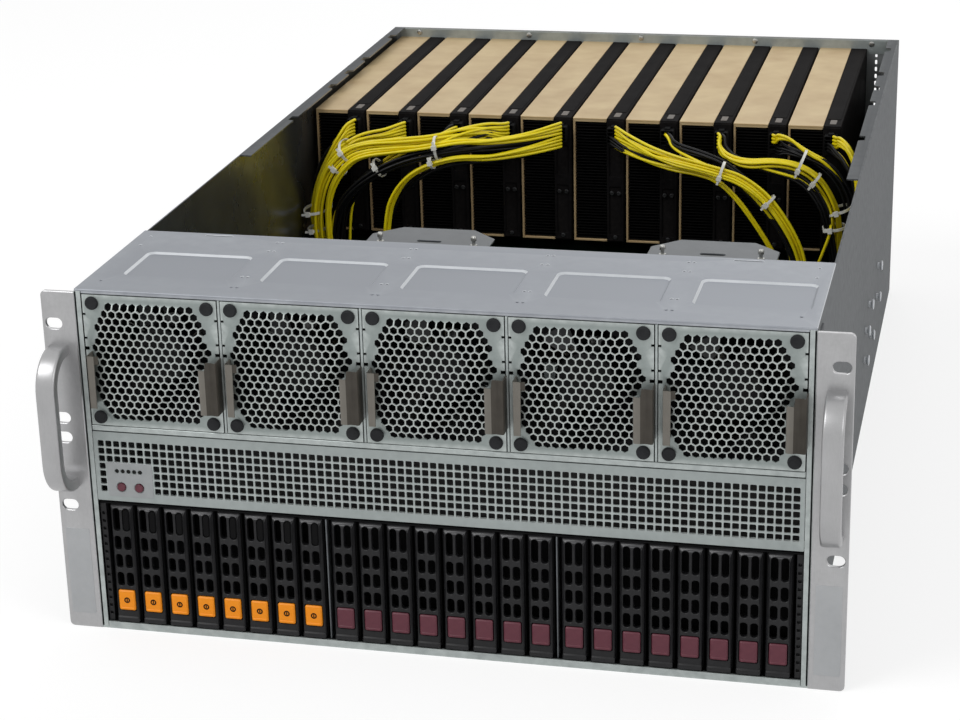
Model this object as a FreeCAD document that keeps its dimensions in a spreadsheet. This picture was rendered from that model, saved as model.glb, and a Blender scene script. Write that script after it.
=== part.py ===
import FreeCAD, Part
import math
import os
import re
import Sketcher

Vector = FreeCAD.Vector

# Driving dimensions in millimetres
sizes = {
    # folded steel chassis
    "chassisWidth": 437.0,
    "chassisHeight": 222.25,
    "chassisDepth": 737.0,
    "sheetSteel": 1.2,
    "cornerReturn": 4.0,
    "topFlange": 10.0,
    "lipHeight": 4.6,
    "fitGap": 0.3,
    # front top cover and its sunk panels
    "coverDepth": 118.7,
    "coverLip": 2.6,
    "sunkDepth": 1.2,
    "sunkWidth": 68.4,
    "sunkLength": 47.0,
    "sunkFront": 29.5,
    "sunkShift": 6.5,
    # fan bays
    "fanPitch": 86.0,
    "dividerSheet": 1.6,
    "fanTopGap": 0.55,
    "cageDepth": 74.0,
    "cageWindow": 74.0,
    # fan module
    "fanSideGap": 0.5,
    "fanPlateHeight": 82.6,
    "fanPlate": 1.0,
    "fanFrame": 80.0,
    "fanFrameDepth": 60.0,
    "fanBore": 38.0,
    "ductSides": 24,
    "cellWidth": 12.6,
    "cellPitch": 14.4,
    "motorRadius": 17.0,
    "motorDepth": 6.0,
    "armWidth": 5.0,
    "shaftRadius": 2.5,
    "shaftReach": 34.0,
    "plugWidth": 24.0,
    "plugHeight": 10.0,
    # fan rotor
    "hubRadius": 18.0,
    "hubSides": 16,
    "hubDepth": 30.0,
    "hubFront": 12.0,
    "runningGap": 0.05,
    "bladeCount": 7,
    "bladeTip": 37.2,
    "bladeRootChord": 19.0,
    "bladeTipChord": 31.0,
    "bladePitch": 42.0,
    "bladeThickness": 1.4,
    # spring latch tab
    "latchSheet": 0.8,
    "latchReach": 10.0,
    "latchFlange": 11.5,
    "latchFoot": 4.0,
    "latchHeight": 33.0,
    "latchDrop": 27.0,
    "latchCorner": 4.0,
    # front grille and its control panel
    "grilleTopGap": 3.0,
    "grilleFootGap": 1.6,
    "grilleReturn": 12.0,
    "grilleHole": 20.6,
    "grillePitch": 23.9,
    "grilleBar": 3.0,
    "grilleMargin": 7.0,
    "controlWidth": 34.0,
    "buttonRadius": 2.7,
    "buttonLength": 7.0,
    "buttonProud": 1.2,
    "buttonSpacing": 11.4,
    "buttonFromEdge": 16.0,
    "buttonHeight": 96.5,
    # drive bay
    "cageFloorTop": 4.7,
    "cageTopBottom": 84.2,
    "cageBayDepth": 122.0,
    "pillarWidth": 3.8,
    "groupDivider": 1.4,
    "trayPitch": 17.2,
    "groupPitch": 140.6,
    "trayWidth": 16.0,
    "trayHeight": 78.6,
    "trayBezel": 14.0,
    "trayCrown": 7.0,
    "trayLength": 112.0,
    "trayRail": 4.0,
    "trayInset": 1.6,
    "ventWidth": 4.4,
    "ventDepth": 7.0,
    "ventBridge": 2.4,
    "releaseWidth": 10.4,
    "releaseHeight": 13.4,
    "releaseBottom": 8.4,
    "releaseProud": 0.9,
    "driveWidth": 14.4,
    "driveLength": 95.0,
    # rack ears and handles
    "rackUnit": 44.45,
    "rackHoleInset": 6.35,
    "slotFromWall": 14.05,
    "earWidth": 21.2,
    "earTopGap": 1.95,
    "earPlate": 2.5,
    "earProud": 0.7,
    "earLeg": 30.0,
    "slotLength": 10.6,
    "slotRadius": 3.55,
    "handleBottom": 95.0,
    "handleHeight": 92.0,
    "handleReach": 27.0,
    "handleThickness": 7.0,
    "handleWidth": 12.0,
    "handleBend": 14.0,
    # hold-down plates behind the fans
    "tabDrop": 17.25,
    "tabLength": 130.0,
    "tabRootWidth": 82.0,
    "tabTipWidth": 48.0,
    "tabSpacing": 184.0,
    "tabShift": 45.0,
    # accelerator cards
    "cardPitch": 40.64,
    "cardSideGap": 9.2,
    "cardTopGap": 9.25,
    "cardHeight": 97.0,
    "cardLength": 262.0,
    "shroudWidth": 25.7,
    "shroudWall": 1.6,
    "coverWidth": 13.3,
    "finPitch": 11.5,
    "finSlot": 6.5,
    "finSlotDepth": 14.0,
    "inletDepth": 5.0,
    "socketHeight": 16.0,
    "socketWidth": 8.0,
    "socketLength": 90.0,
    "socketInset": 60.0,
    # boards and shelves
    "boardThickness": 2.0,
    "shelfFront": 300.0,
    "expansionWidth": 426.0,
    "expansionDepth": 325.0,
    "standoffRadius": 4.0,
    "standoffHeight": 8.0,
    "systemHeight": 8.0,
    "systemWidth": 262.0,
    "systemDepth": 420.0,
    "heatsinkWidth": 90.0,
    "heatsinkDepth": 108.0,
    "heatsinkTopGap": 20.8,
    "memoryCount": 8,
    "memoryPitch": 7.6,
    "memoryHeight": 32.0,
    "memoryLength": 133.0,
    # power supplies
    "supplyWidth": 73.5,
    "supplyTopGap": 5.6,
    "supplyLength": 262.0,
    "supplyGap": 0.4,
    "inletWidth": 28.0,
    "inletHeight": 20.0,
    "gripReach": 22.0,
    "gripWidth": 34.0,
    "gripThickness": 4.0,
    # rear ports
    "portWidth": 18.0,
    "portHeight": 15.0,
    "portDepth": 22.0,
    "portPitch": 24.0,
    "portFirst": -196.0,
    # power cables of the cards
    "cableRadius": 4.0,
    "cableLead": 22.0,
    "cableLane": 9.0,
    "plugSide": 10.0,
    "plugRise": 12.0,
    "plugDrop": 5.0,
}

# Places that follow from the driving dimensions
levels = {
    "fanShelfHeight": "chassisHeight - coverLip - fanTopGap - fanPlateHeight - fitGap",
    "grilleTop": "fanShelfHeight - sheetSteel - grilleTopGap",
    "grilleBottom": "cageTopBottom + sheetSteel + grilleFootGap",
    "grilleHoleHeight": "(grilleTop - grilleBottom - grilleBar) / 2 - grilleMargin",
    "earHeight": "chassisHeight - earTopGap",
    "tabHeight": "chassisHeight - tabDrop",
    "cardTop": "chassisHeight - cardTopGap",
    "cardFirst": "-5 * cardPitch - cardSideGap",
    "expansionHeight": "cardTop - cardHeight - socketHeight - boardThickness",
    "shelfHeight": "expansionHeight - standoffHeight",
    "heatsinkHeight": "shelfHeight - sheetSteel - heatsinkTopGap - systemHeight - boardThickness",
    "supplyHeight": "(shelfHeight - sheetSteel - supplyTopGap) / 2 - 2 * supplyGap - sheetSteel",
}

doc = FreeCAD.newDocument("gpu_server")
sheet = doc.addObject("Spreadsheet::Sheet", "size")
cells = {alias: str(number) for alias, number in sizes.items()}
cells.update({alias: "=" + text for alias, text in levels.items()})
for line, (alias, content) in enumerate(cells.items(), 1):
    sheet.set(f"A{line}", alias)
    sheet.set(f"B{line}", content)
    sheet.setAlias(f"B{line}", alias)
doc.recompute()

# Planes that the pieces share: x from the centre, y from front to rear, z from the floor
half = "chassisWidth / 2"
front = "-chassisDepth / 2"
rear = "chassisDepth / 2"
inner = f"({half} - sheetSteel)"
cornerInner = f"({half} - cornerReturn - fitGap)"
ceiling = "(chassisHeight - sheetSteel)"
coverRear = f"({front} + coverDepth)"
fanCentre = "(fanShelfHeight + fitGap + fanPlateHeight / 2)"
fanHalf = "((fanPitch - dividerSheet) / 2 - fanSideGap)"
cageBack = f"({front} + cageDepth)"
bayBack = f"({front} + cageBayDepth)"
cardFront = f"({rear} - sheetSteel - cardLength)"
cardBottom = "(cardTop - cardHeight)"
supplyBay = f"({inner} - 2 * supplyWidth - 4 * supplyGap - 2 * sheetSteel)"


def read(alias):
    return float(sheet.get(alias))


def formula(text):
    def named(word):
        return "size." + word.group() if word.group() in cells else word.group()
    return re.sub(r"[A-Za-z]\w*", named, text)


def bind(piece, prop, text):
    piece.setExpression(prop, formula(text))


def place(piece, x="0", y="0", z="0"):
    for axis, text in zip("xyz", (x, y, z)):
        bind(piece, f".Placement.Base.{axis}", text)
    return piece


def box(name, low, high):
    piece = doc.addObject("Part::Box", name)
    for side, start, end in zip(("Length", "Width", "Height"), low, high):
        bind(piece, side, f"({end}) - ({start})")
    return place(piece, *low)


def rod(name, radius, start, length):
    piece = doc.addObject("Part::Cylinder", name)
    bind(piece, "Radius", radius)
    bind(piece, "Height", length)
    piece.Placement.Rotation = FreeCAD.Rotation(Vector(1, 0, 0), -90)
    return place(piece, *start)


def prism(name, sides, radius, start, length, turn=0):
    piece = doc.addObject("Part::Prism", name)
    piece.Polygon = sides
    bind(piece, "Circumradius", radius)
    bind(piece, "Height", length)
    piece.Placement.Rotation = FreeCAD.Rotation(Vector(1, 0, 0), turn)
    return place(piece, *start)


def post(name, start, length):
    return prism(name, 6, "standoffRadius", start, length)


def fuse(name, pieces):
    whole = doc.addObject("Part::MultiFuse", name)
    whole.Shapes = pieces
    whole.Refine = True
    return whole


def cut(name, base, tools):
    whole = doc.addObject("Part::Cut", name)
    whole.Base = base
    whole.Tool = tools[0] if len(tools) == 1 else fuse(name + "_cuts", tools)
    return whole


def group(name, pieces):
    whole = doc.addObject("Part::Compound", name)
    whole.Links = pieces
    return whole


def mirrored(name, source):
    twin = doc.addObject("Part::Mirroring", name)
    twin.Source = source
    twin.Normal = Vector(1, 0, 0)
    return twin


def copy(name, source, x="0", y="0", z="0"):
    twin = doc.addObject("App::Link", name)
    twin.LinkedObject = source
    return place(twin, x, y, z)


def sketch(body, name, role, offset="0"):
    drawing = body.newObject("Sketcher::SketchObject", name)
    plane = next(feature for feature in body.Origin.OriginFeatures if feature.Role == role)
    drawing.AttachmentSupport = [(plane, "")]
    drawing.MapMode = "FlatFace"
    bind(drawing, ".AttachmentOffset.Base.z", offset)
    return drawing


def pin(drawing, line, point, spot):
    for kind, text in zip(("DistanceX", "DistanceY"), spot):
        index = drawing.addConstraint(Sketcher.Constraint(kind, -1, 1, line, point, 1.0))
        bind(drawing, f"Constraints[{index}]", text)


def polygon(drawing, points):
    first = drawing.GeometryCount
    count = len(points)
    turn = 2 * math.pi / count
    seeds = [Vector(math.cos(turn * k), math.sin(turn * k), 0) for k in range(count)]
    for k in range(count):
        drawing.addGeometry(Part.LineSegment(seeds[k], seeds[(k + 1) % count]))
    for k in range(count):
        drawing.addConstraint(Sketcher.Constraint("Coincident", first + k, 2, first + (k + 1) % count, 1))
        pin(drawing, first + k, 1, points[k])


def rectangle(drawing, low, high):
    polygon(drawing, [low, (high[0], low[1]), high, (low[0], high[1])])


def hexagon(drawing, x, z, width):
    corners = ((1, 1), (0, 2), (-1, 1), (-1, -1), (0, -2), (1, -1))
    points = [(f"{x} + {a} * {width} / 2", f"{z} + {b} * {width} / 2 / sqrt(3)") for a, b in corners]
    polygon(drawing, points)


def circle(drawing, x, z, radius):
    index = drawing.addGeometry(Part.Circle(Vector(0, 0, 0), Vector(0, 0, 1), 1.0))
    pin(drawing, index, 3, (x, z))
    size = drawing.addConstraint(Sketcher.Constraint("Radius", index, 1.0))
    bind(drawing, f"Constraints[{size}]", radius)


def slot(drawing, x, z, length, radius):
    first = drawing.GeometryCount
    up = Vector(0, 0, 1)
    left, right = Vector(-2, 0, 0), Vector(2, 0, 0)
    drawing.addGeometry(Part.ArcOfCircle(Part.Circle(left, up, 1), math.pi / 2, 3 * math.pi / 2))
    drawing.addGeometry(Part.LineSegment(Vector(-2, -1, 0), Vector(2, -1, 0)))
    drawing.addGeometry(Part.ArcOfCircle(Part.Circle(right, up, 1), -math.pi / 2, math.pi / 2))
    drawing.addGeometry(Part.LineSegment(Vector(2, 1, 0), Vector(-2, 1, 0)))
    for k in range(4):
        drawing.addConstraint(Sketcher.Constraint("Tangent", first + k, 2, first + (k + 1) % 4, 1))
    drawing.addConstraint(Sketcher.Constraint("Equal", first, first + 2))
    size = drawing.addConstraint(Sketcher.Constraint("Radius", first, 1.0))
    bind(drawing, f"Constraints[{size}]", radius)
    pin(drawing, first, 3, (f"{x} - {length} / 2 + {radius}", z))
    pin(drawing, first + 2, 3, (f"{x} + {length} / 2 - {radius}", z))


def newBody(name):
    return doc.addObject("PartDesign::Body", name)


def pad(body, drawing, length):
    feature = body.newObject("PartDesign::Pad", drawing.Name + "_pad")
    feature.Profile = drawing
    bind(feature, "Length", length)
    return feature


def pocket(body, drawing, depth=None):
    feature = body.newObject("PartDesign::Pocket", drawing.Name + "_pocket")
    feature.Profile = drawing
    if depth is None:
        feature.Type = "ThroughAll"
    else:
        bind(feature, "Length", depth)
    return feature


def row(body, feature, drawing, axis, span, count):
    pattern = body.newObject("PartDesign::LinearPattern", drawing.Name + "_row")
    pattern.Originals = [feature]
    pattern.Direction = (drawing, [axis])
    bind(pattern, "Length", span)
    pattern.Occurrences = count
    body.Tip = pattern
    return pattern


def slab(body, name, low, high, rise, length):
    drawing = sketch(body, name, "XY_Plane", rise)
    rectangle(drawing, low, high)
    return pad(body, drawing, length)


def frontSlab(body, name, low, high, back, length):
    drawing = sketch(body, name, "XZ_Plane", f"-({back})")
    rectangle(drawing, low, high)
    return pad(body, drawing, length)


def rounded(body, name, test, radius):
    doc.recompute()
    base = body.Tip
    edges = [f"Edge{k}" for k, edge in enumerate(base.Shape.Edges, 1) if test(edge)]
    feature = body.newObject("PartDesign::Fillet", name)
    feature.Base = (base, edges)
    bind(feature, "Radius", radius)
    return feature


nodes = {}


# Bottom pan: the floor sheet with the bright lip under the drive trays
pan = newBody("bottom_pan")
slab(pan, "pan_floor", (f"-{half}", front), (half, rear), "0", "sheetSteel")
slab(pan, "pan_lip", (f"-{cornerInner}", front), (cornerInner, f"{front} + sheetSteel"),
     "sheetSteel", "lipHeight - sheetSteel")
nodes["bottom_pan"] = pan

# Side walls: web, front corner return and the top flange behind the cover
wall = newBody("right_wall")
outline = sketch(wall, "wall_profile", "XY_Plane", "sheetSteel")
polygon(outline, [
    (half, front),
    (half, rear),
    (inner, rear),
    (inner, f"{front} + sheetSteel"),
    (f"{half} - cornerReturn", f"{front} + sheetSteel"),
    (f"{half} - cornerReturn", front),
])
pad(wall, outline, "chassisHeight - 2 * sheetSteel")
slab(wall, "wall_flange", (f"{half} - topFlange", f"{coverRear} + fitGap"),
     (inner, f"{rear} - sheetSteel - fitGap"), "chassisHeight - 2 * sheetSteel", "sheetSteel")
nodes["side_walls"] = group("side_walls", [wall, mirrored("left_wall", wall)])

# Front cover: folded sheet with five shallow panels pressed down into it
cover = newBody("front_cover")
slab(cover, "cover_sheet", (f"-{half}", front), (half, coverRear), ceiling, "sheetSteel")
slab(cover, "cover_lip", (f"-{cornerInner}", front), (cornerInner, f"{front} + sheetSteel"),
     "chassisHeight - coverLip", "coverLip - sheetSteel")
panelLeft = "(-2 * fanPitch - sunkWidth / 2 + sunkShift)"
panelNear = f"({front} + sunkFront)"
floorDrawing = sketch(cover, "sunk_floor", "XY_Plane", f"{ceiling} - sunkDepth")
rectangle(floorDrawing, (f"{panelLeft} - sheetSteel", f"{panelNear} - sheetSteel"),
          (f"{panelLeft} + sunkWidth + sheetSteel", f"{panelNear} + sunkLength + sheetSteel"))
row(cover, pad(cover, floorDrawing, "sunkDepth"), floorDrawing, "H_Axis", "4 * fanPitch", 5)
panelDrawing = sketch(cover, "sunk_panel", "XY_Plane", "chassisHeight")
rectangle(panelDrawing, (panelLeft, panelNear), (f"{panelLeft} + sunkWidth", f"{panelNear} + sunkLength"))
row(cover, pocket(cover, panelDrawing, "sunkDepth"), panelDrawing, "H_Axis", "4 * fanPitch", 5)
nodes["front_cover"] = cover

# Fan cage: shelf, four dividers and a back sheet with one air window for each fan
cageTop = f"({ceiling} - sunkDepth - fitGap)"
cageNear = f"({front} + sheetSteel + fitGap)"
cagePieces = [
    box("cage_shelf", (f"-{inner}", cageNear, "fanShelfHeight - sheetSteel"),
        (inner, f"{cageBack} + sheetSteel", "fanShelfHeight")),
    box("cage_back", (f"-{inner}", cageBack, "fanShelfHeight"),
        (inner, f"{cageBack} + sheetSteel", cageTop)),
]
for k in range(4):
    middle = f"({k} - 1.5) * fanPitch"
    cagePieces.append(box(f"cage_divider_{k + 1}",
                          (f"{middle} - dividerSheet / 2", cageNear, "fanShelfHeight"),
                          (f"{middle} + dividerSheet / 2", cageBack, cageTop)))
windows = []
for k in range(5):
    middle = f"({k} - 2) * fanPitch"
    windows.append(box(f"cage_window_{k + 1}",
                       (f"{middle} - cageWindow / 2", f"{cageBack} - sheetSteel",
                        f"{fanCentre} - cageWindow / 2"),
                       (f"{middle} + cageWindow / 2", f"{cageBack} + 2 * sheetSteel",
                        f"{fanCentre} + cageWindow / 2")))
nodes["fan_cage"] = cut("fan_cage", fuse("cage_sheets", cagePieces), windows)

# Hold-down plates: two tapered tabs from the top of the cage's back sheet into the card bay
tab = newBody("hold_down_plate")
tabOutline = sketch(tab, "tab_outline", "XY_Plane", "tabHeight - sheetSteel")
tabNear = f"({cageBack} + sheetSteel)"
polygon(tabOutline, [
    ("-tabRootWidth / 2", tabNear),
    ("tabRootWidth / 2", tabNear),
    ("tabRootWidth / 2", f"{tabNear} + tabLength - (tabRootWidth - tabTipWidth) / 2"),
    ("tabTipWidth / 2", f"{tabNear} + tabLength"),
    ("-tabTipWidth / 2", f"{tabNear} + tabLength"),
    ("-tabRootWidth / 2", f"{tabNear} + tabLength - (tabRootWidth - tabTipWidth) / 2"),
])
pad(tab, tabOutline, "sheetSteel")
tabs = [copy(f"hold_down_{k}", tab, f"tabShift + ({k} - 0.5) * tabSpacing") for k in range(2)]
nodes["hold_down_plates"] = group("hold_down_plates", tabs)

# Fan module: face plate with a honeycomb, square frame with a round duct, motor seat on four arms
plate = newBody("fan_face")
frontSlab(plate, "face_sheet", (f"-{fanHalf}", "-fanPlateHeight / 2"), (fanHalf, "fanPlateHeight / 2"),
          "fanPlate", "fanPlate")
for k, count in enumerate((3, 4, 5, 4, 3)):
    rowDrawing = sketch(plate, f"cell_row_{k + 1}", "XZ_Plane")
    rise = f"({k - 2} * cellPitch * sqrt(3) / 2)"
    hexagon(rowDrawing, f"(-{count - 1} * cellPitch / 2)", rise, "cellWidth")
    row(plate, pocket(plate, rowDrawing), rowDrawing, "H_Axis", f"{count - 1} * cellPitch", count)
frameEnd = "(fanPlate + fanFrameDepth)"
frameBlock = box("fan_frame_block", ("-fanFrame / 2", "fanPlate", "-fanFrame / 2"),
                 ("fanFrame / 2", frameEnd, "fanFrame / 2"))
duct = prism("fan_duct", int(read("ductSides")), "fanBore", ("0", "0", "0"),
             "fanFrameDepth + 2 * fanPlate", -90)
frame = cut("fan_frame", frameBlock, [duct])
armReach = "(fanBore + fanFrame / 2) / 2"
hubSides = int(read("hubSides"))
motorNear = f"({frameEnd} - motorDepth)"
armFar = f"({frameEnd} - motorDepth / 2)"
moduleBody = fuse("fan_module", [
    plate,
    frame,
    prism("fan_motor", hubSides, "motorRadius", ("0", motorNear, "0"), "motorDepth", -90),
    box("fan_arm_across", (f"-{armReach}", motorNear, "-armWidth / 2"), (armReach, armFar, "armWidth / 2")),
    box("fan_arm_up", ("-armWidth / 2", motorNear, f"-{armReach}"), ("armWidth / 2", armFar, armReach)),
    rod("fan_shaft", "shaftRadius", ("0", f"{motorNear} - shaftReach", "0"), "shaftReach"),
    box("fan_plug", ("-plugWidth / 2", frameEnd, "-fanFrame / 2"),
        ("plugWidth / 2", "cageDepth - fitGap", "-fanFrame / 2 + plugHeight")),
])

# Fan rotor: cup hub that turns on the motor shaft, with raked blades
rotor = newBody("fan_rotor")
hubBack = "(hubFront + hubDepth)"
shaftTip = f"({motorNear} - shaftReach - fitGap)"
hubOutline = sketch(rotor, "hub_outline", "XZ_Plane", f"-{hubBack}")
hubTurns = [360 * k / hubSides for k in range(hubSides)]
polygon(hubOutline, [(f"hubRadius * cos({turn} deg)", f"hubRadius * sin({turn} deg)") for turn in hubTurns])
pad(rotor, hubOutline, "hubDepth")
boreDrawing = sketch(rotor, "shaft_bore", "XZ_Plane", f"-{shaftTip}")
circle(boreDrawing, "0", "0", "shaftRadius + runningGap")
pocket(rotor, boreDrawing, f"{hubBack} - {shaftTip}")
bladeDrawing = sketch(rotor, "blade_outline", "XY_Plane")
bladeDrawing.AttachmentOffset.Rotation = FreeCAD.Rotation(Vector(1, 0, 0), 1)
bind(bladeDrawing, ".AttachmentOffset.Base.y", "hubFront + hubDepth / 2")
bind(bladeDrawing, ".AttachmentOffset.Rotation.Angle", "bladePitch")
bladeRoot = "(hubRadius - 2 * bladeThickness)"
bladeReach = "sqrt(bladeTip ^ 2 - (bladeTipChord / 2) ^ 2)"
polygon(bladeDrawing, [
    (bladeRoot, "-bladeRootChord / 2"),
    (bladeReach, "-bladeTipChord / 2"),
    (bladeReach, "bladeTipChord / 2"),
    (bladeRoot, "bladeRootChord / 2"),
])
blade = pad(rotor, bladeDrawing, "bladeThickness")
blade.Midplane = True
blades = rotor.newObject("PartDesign::PolarPattern", "blades")
blades.Originals = [blade]
blades.Axis = (next(axis for axis in rotor.Origin.OriginFeatures if axis.Role == "Y_Axis"), [""])
blades.Angle = 360
blades.Occurrences = int(read("bladeCount"))
rotor.Tip = blades

# Spring latch: a steel tab that stands out of the face plate and folds inward
latch = newBody("fan_latch")
latchSide = f"({fanHalf} - fitGap)"
latchDrawing = sketch(latch, "latch_profile", "XY_Plane", "-latchDrop")
polygon(latchDrawing, [
    (latchSide, "0"),
    (latchSide, "-latchReach"),
    (f"{latchSide} - latchFlange", "-latchReach"),
    (f"{latchSide} - latchFlange", "-latchReach + latchSheet"),
    (f"{latchSide} - latchSheet", "-latchReach + latchSheet"),
    (f"{latchSide} - latchSheet", "-latchSheet"),
    (f"{latchSide} - latchFoot", "-latchSheet"),
    (f"{latchSide} - latchFoot", "0"),
])
pad(latch, latchDrawing, "latchHeight")
cornerDrawing = sketch(latch, "latch_corner", "XZ_Plane", "latchReach + fitGap")
latchTop = "(latchHeight - latchDrop)"
polygon(cornerDrawing, [
    (f"{latchSide} - latchFlange - fitGap", f"{latchTop} + fitGap"),
    (f"{latchSide} - latchFlange - fitGap", f"{latchTop} - latchCorner"),
    (f"{latchSide} - latchFlange", f"{latchTop} - latchCorner"),
    (f"{latchSide} - latchFlange + latchCorner", latchTop),
    (f"{latchSide} - latchFlange + latchCorner", f"{latchTop} + fitGap"),
])
pocket(latch, cornerDrawing, "latchSheet + 2 * fitGap")
fanUnit = group("fan_unit", [moduleBody, latch, mirrored("fan_latch_mirror", latch)])

for k in range(5):
    for suffix, source in (("module", fanUnit), ("rotor", rotor)):
        name = f"fan_{k + 1}_{suffix}"
        nodes[name] = copy(name, source, f"({k} - 2) * fanPitch", front, fanCentre)

# Front grille: perforated panel with folded edges and a solid corner for the controls
grille = newBody("front_grille")
frontSlab(grille, "grille_sheet", (f"-{cornerInner}", "grilleBottom"), (cornerInner, "grilleTop"),
          f"{front} + sheetSteel", "sheetSteel")
for name, low in (("grille_top_fold", "grilleTop - sheetSteel"), ("grille_bottom_fold", "grilleBottom")):
    slab(grille, name, (f"-{cornerInner}", f"{front} + sheetSteel"),
         (cornerInner, f"{front} + grilleReturn"), low, "sheetSteel")
holeLow = "(grilleBottom + grilleMargin)"
grilleRise = "(grilleHoleHeight + grilleBar)"
holeCount = 16
holeLeft = f"(controlWidth / 2 - {holeCount} * grillePitch / 2)"
for k in range(2):
    holeDrawing = sketch(grille, f"grille_holes_{k + 1}", "XZ_Plane", f"-({front})")
    rectangle(holeDrawing, (holeLeft, f"{holeLow} + {k} * {grilleRise}"),
              (f"{holeLeft} + grilleHole", f"{holeLow} + {k} * {grilleRise} + grilleHoleHeight"))
    holes = pocket(grille, holeDrawing)
    row(grille, holes, holeDrawing, "H_Axis", f"{holeCount - 1} * grillePitch", holeCount)
buttonDrawing = sketch(grille, "button_holes", "XZ_Plane", f"-({front})")
buttonLeft = f"(-{cornerInner} + buttonFromEdge)"
for k in range(2):
    circle(buttonDrawing, f"{buttonLeft} + {k} * buttonSpacing", "buttonHeight", "buttonRadius + fitGap")
pocket(grille, buttonDrawing)
nodes["front_grille"] = grille

# Push buttons: stepped plungers in the control corner
for k, name in enumerate(("power_button", "reset_button")):
    button = newBody(name)
    buttonProfile = sketch(button, name + "_profile", "XY_Plane")
    polygon(buttonProfile, [
        ("0", "-buttonProud"),
        ("buttonRadius - fitGap", "-buttonProud"),
        ("buttonRadius", "-buttonProud + fitGap"),
        ("buttonRadius", "buttonLength - buttonProud"),
        ("0", "buttonLength - buttonProud"),
    ])
    turned = button.newObject("PartDesign::Revolution", name + "_turned")
    turned.Profile = buttonProfile
    turned.ReferenceAxis = (buttonProfile, ["V_Axis"])
    turned.Angle = 360
    nodes[name] = place(button, f"{buttonLeft} + {k} * buttonSpacing", front, "buttonHeight")

# Drive cage: floor, top sheet, end pillars and the dividers between the three groups
driveNear = f"({front} + trayInset)"
driveCage = [
    box("drive_floor", (f"-{cornerInner}", cageNear, "sheetSteel"), (cornerInner, bayBack, "cageFloorTop")),
    box("drive_top", (f"-{cornerInner}", cageNear, "cageTopBottom"),
        (cornerInner, bayBack, "cageTopBottom + sheetSteel")),
    box("drive_pillar_left", (f"-{cornerInner}", driveNear, "cageFloorTop"),
        (f"-{cornerInner} + pillarWidth", bayBack, "cageTopBottom")),
    box("drive_pillar_right", (f"{cornerInner} - pillarWidth", driveNear, "cageFloorTop"),
        (cornerInner, bayBack, "cageTopBottom")),
]
for k in range(2):
    middle = f"({k} - 0.5) * groupPitch"
    driveCage.append(box(f"drive_divider_{k + 1}",
                         (f"{middle} - groupDivider / 2", driveNear, "cageFloorTop"),
                         (f"{middle} + groupDivider / 2", bayBack, "cageTopBottom")))
nodes["drive_cage"] = fuse("drive_cage", driveCage)

# Drive tray: moulded bezel with vents, top and bottom rails, release button and the drive itself
tray = newBody("drive_tray")
frontSlab(tray, "tray_bezel", ("-trayWidth / 2", "0"), ("trayWidth / 2", "trayHeight"),
          "trayBezel", "trayBezel")
for name, low in (("tray_rail_bottom", "0"), ("tray_rail_top", "trayHeight - trayRail")):
    slab(tray, name, ("-trayWidth / 2", "trayBezel"), ("trayWidth / 2", "trayLength"), low, "trayRail")
rounded(tray, "tray_crown", lambda edge: abs(edge.CenterOfMass.y) < 1e-6
        and abs(edge.CenterOfMass.z - read("trayHeight")) < 1e-6, "trayCrown")
ventDrawing = sketch(tray, "tray_vents", "XZ_Plane")
ventStart = "(releaseBottom + releaseHeight + ventBridge)"
ventEnd = "(trayHeight - trayCrown)"
for side in (-1, 1):
    middle = f"{side} * (ventBridge / 2 + ventWidth / 2)"
    rectangle(ventDrawing, (f"{middle} - ventWidth / 2", ventStart), (f"{middle} + ventWidth / 2", ventEnd))
pocket(tray, ventDrawing, "ventDepth")
releaseDrawing = sketch(tray, "release_recess", "XZ_Plane")
rectangle(releaseDrawing, ("-releaseWidth / 2 - fitGap", "releaseBottom - fitGap"),
          ("releaseWidth / 2 + fitGap", "releaseBottom + releaseHeight + fitGap"))
pocket(tray, releaseDrawing, "ventDepth")
release = box("release_button", ("-releaseWidth / 2", "-releaseProud", "releaseBottom"),
              ("releaseWidth / 2", "ventDepth", "releaseBottom + releaseHeight"))
drive = box("drive_block", ("-driveWidth / 2", "trayBezel", "trayRail"),
            ("driveWidth / 2", "trayBezel + driveLength", "trayHeight - trayRail"))
driveMaster = group("drive", [tray, release, drive])
for k in range(24):
    name = f"drive_{k + 1:02d}"
    spot = f"({k // 8} - 1) * groupPitch + ({k % 8} - 3.5) * trayPitch"
    nodes[name] = copy(name, driveMaster, spot, driveNear, "cageFloorTop + fitGap")

# Drive backplane: board behind the trays
backplaneNear = f"({bayBack} + fitGap)"
nodes["drive_backplane"] = box("drive_backplane", (f"-{cornerInner}", backplaneNear, "sheetSteel"),
                               (cornerInner, f"{backplaneNear} + boardThickness", "cageTopBottom"))

# Rack ears: slotted flanges with a leg along each wall
ear = newBody("right_ear")
earBack = f"({front} - earProud + earPlate)"
frontSlab(ear, "ear_flange", (half, "0"), (f"{half} + earWidth", "earHeight"), earBack, "earPlate")
frontSlab(ear, "ear_leg", (half, "lipHeight"), (f"{half} + sheetSteel", "earHeight - lipHeight"),
          f"{front} + earLeg", "earLeg - earPlate + earProud")
slotDrawing = sketch(ear, "ear_slots", "XZ_Plane", f"-({front}) + earProud")
slotHeights = ("2 * rackUnit - rackHoleInset", "3 * rackUnit - rackHoleInset",
               "3 * rackUnit + rackHoleInset", "chassisHeight - rackUnit / 2")
for rise in slotHeights:
    slot(slotDrawing, f"({half} + slotFromWall)", rise, "slotLength", "slotRadius")
pocket(ear, slotDrawing, "earPlate + fitGap")
nodes["rack_ears"] = group("rack_ears", [ear, mirrored("left_ear", ear)])

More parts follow.
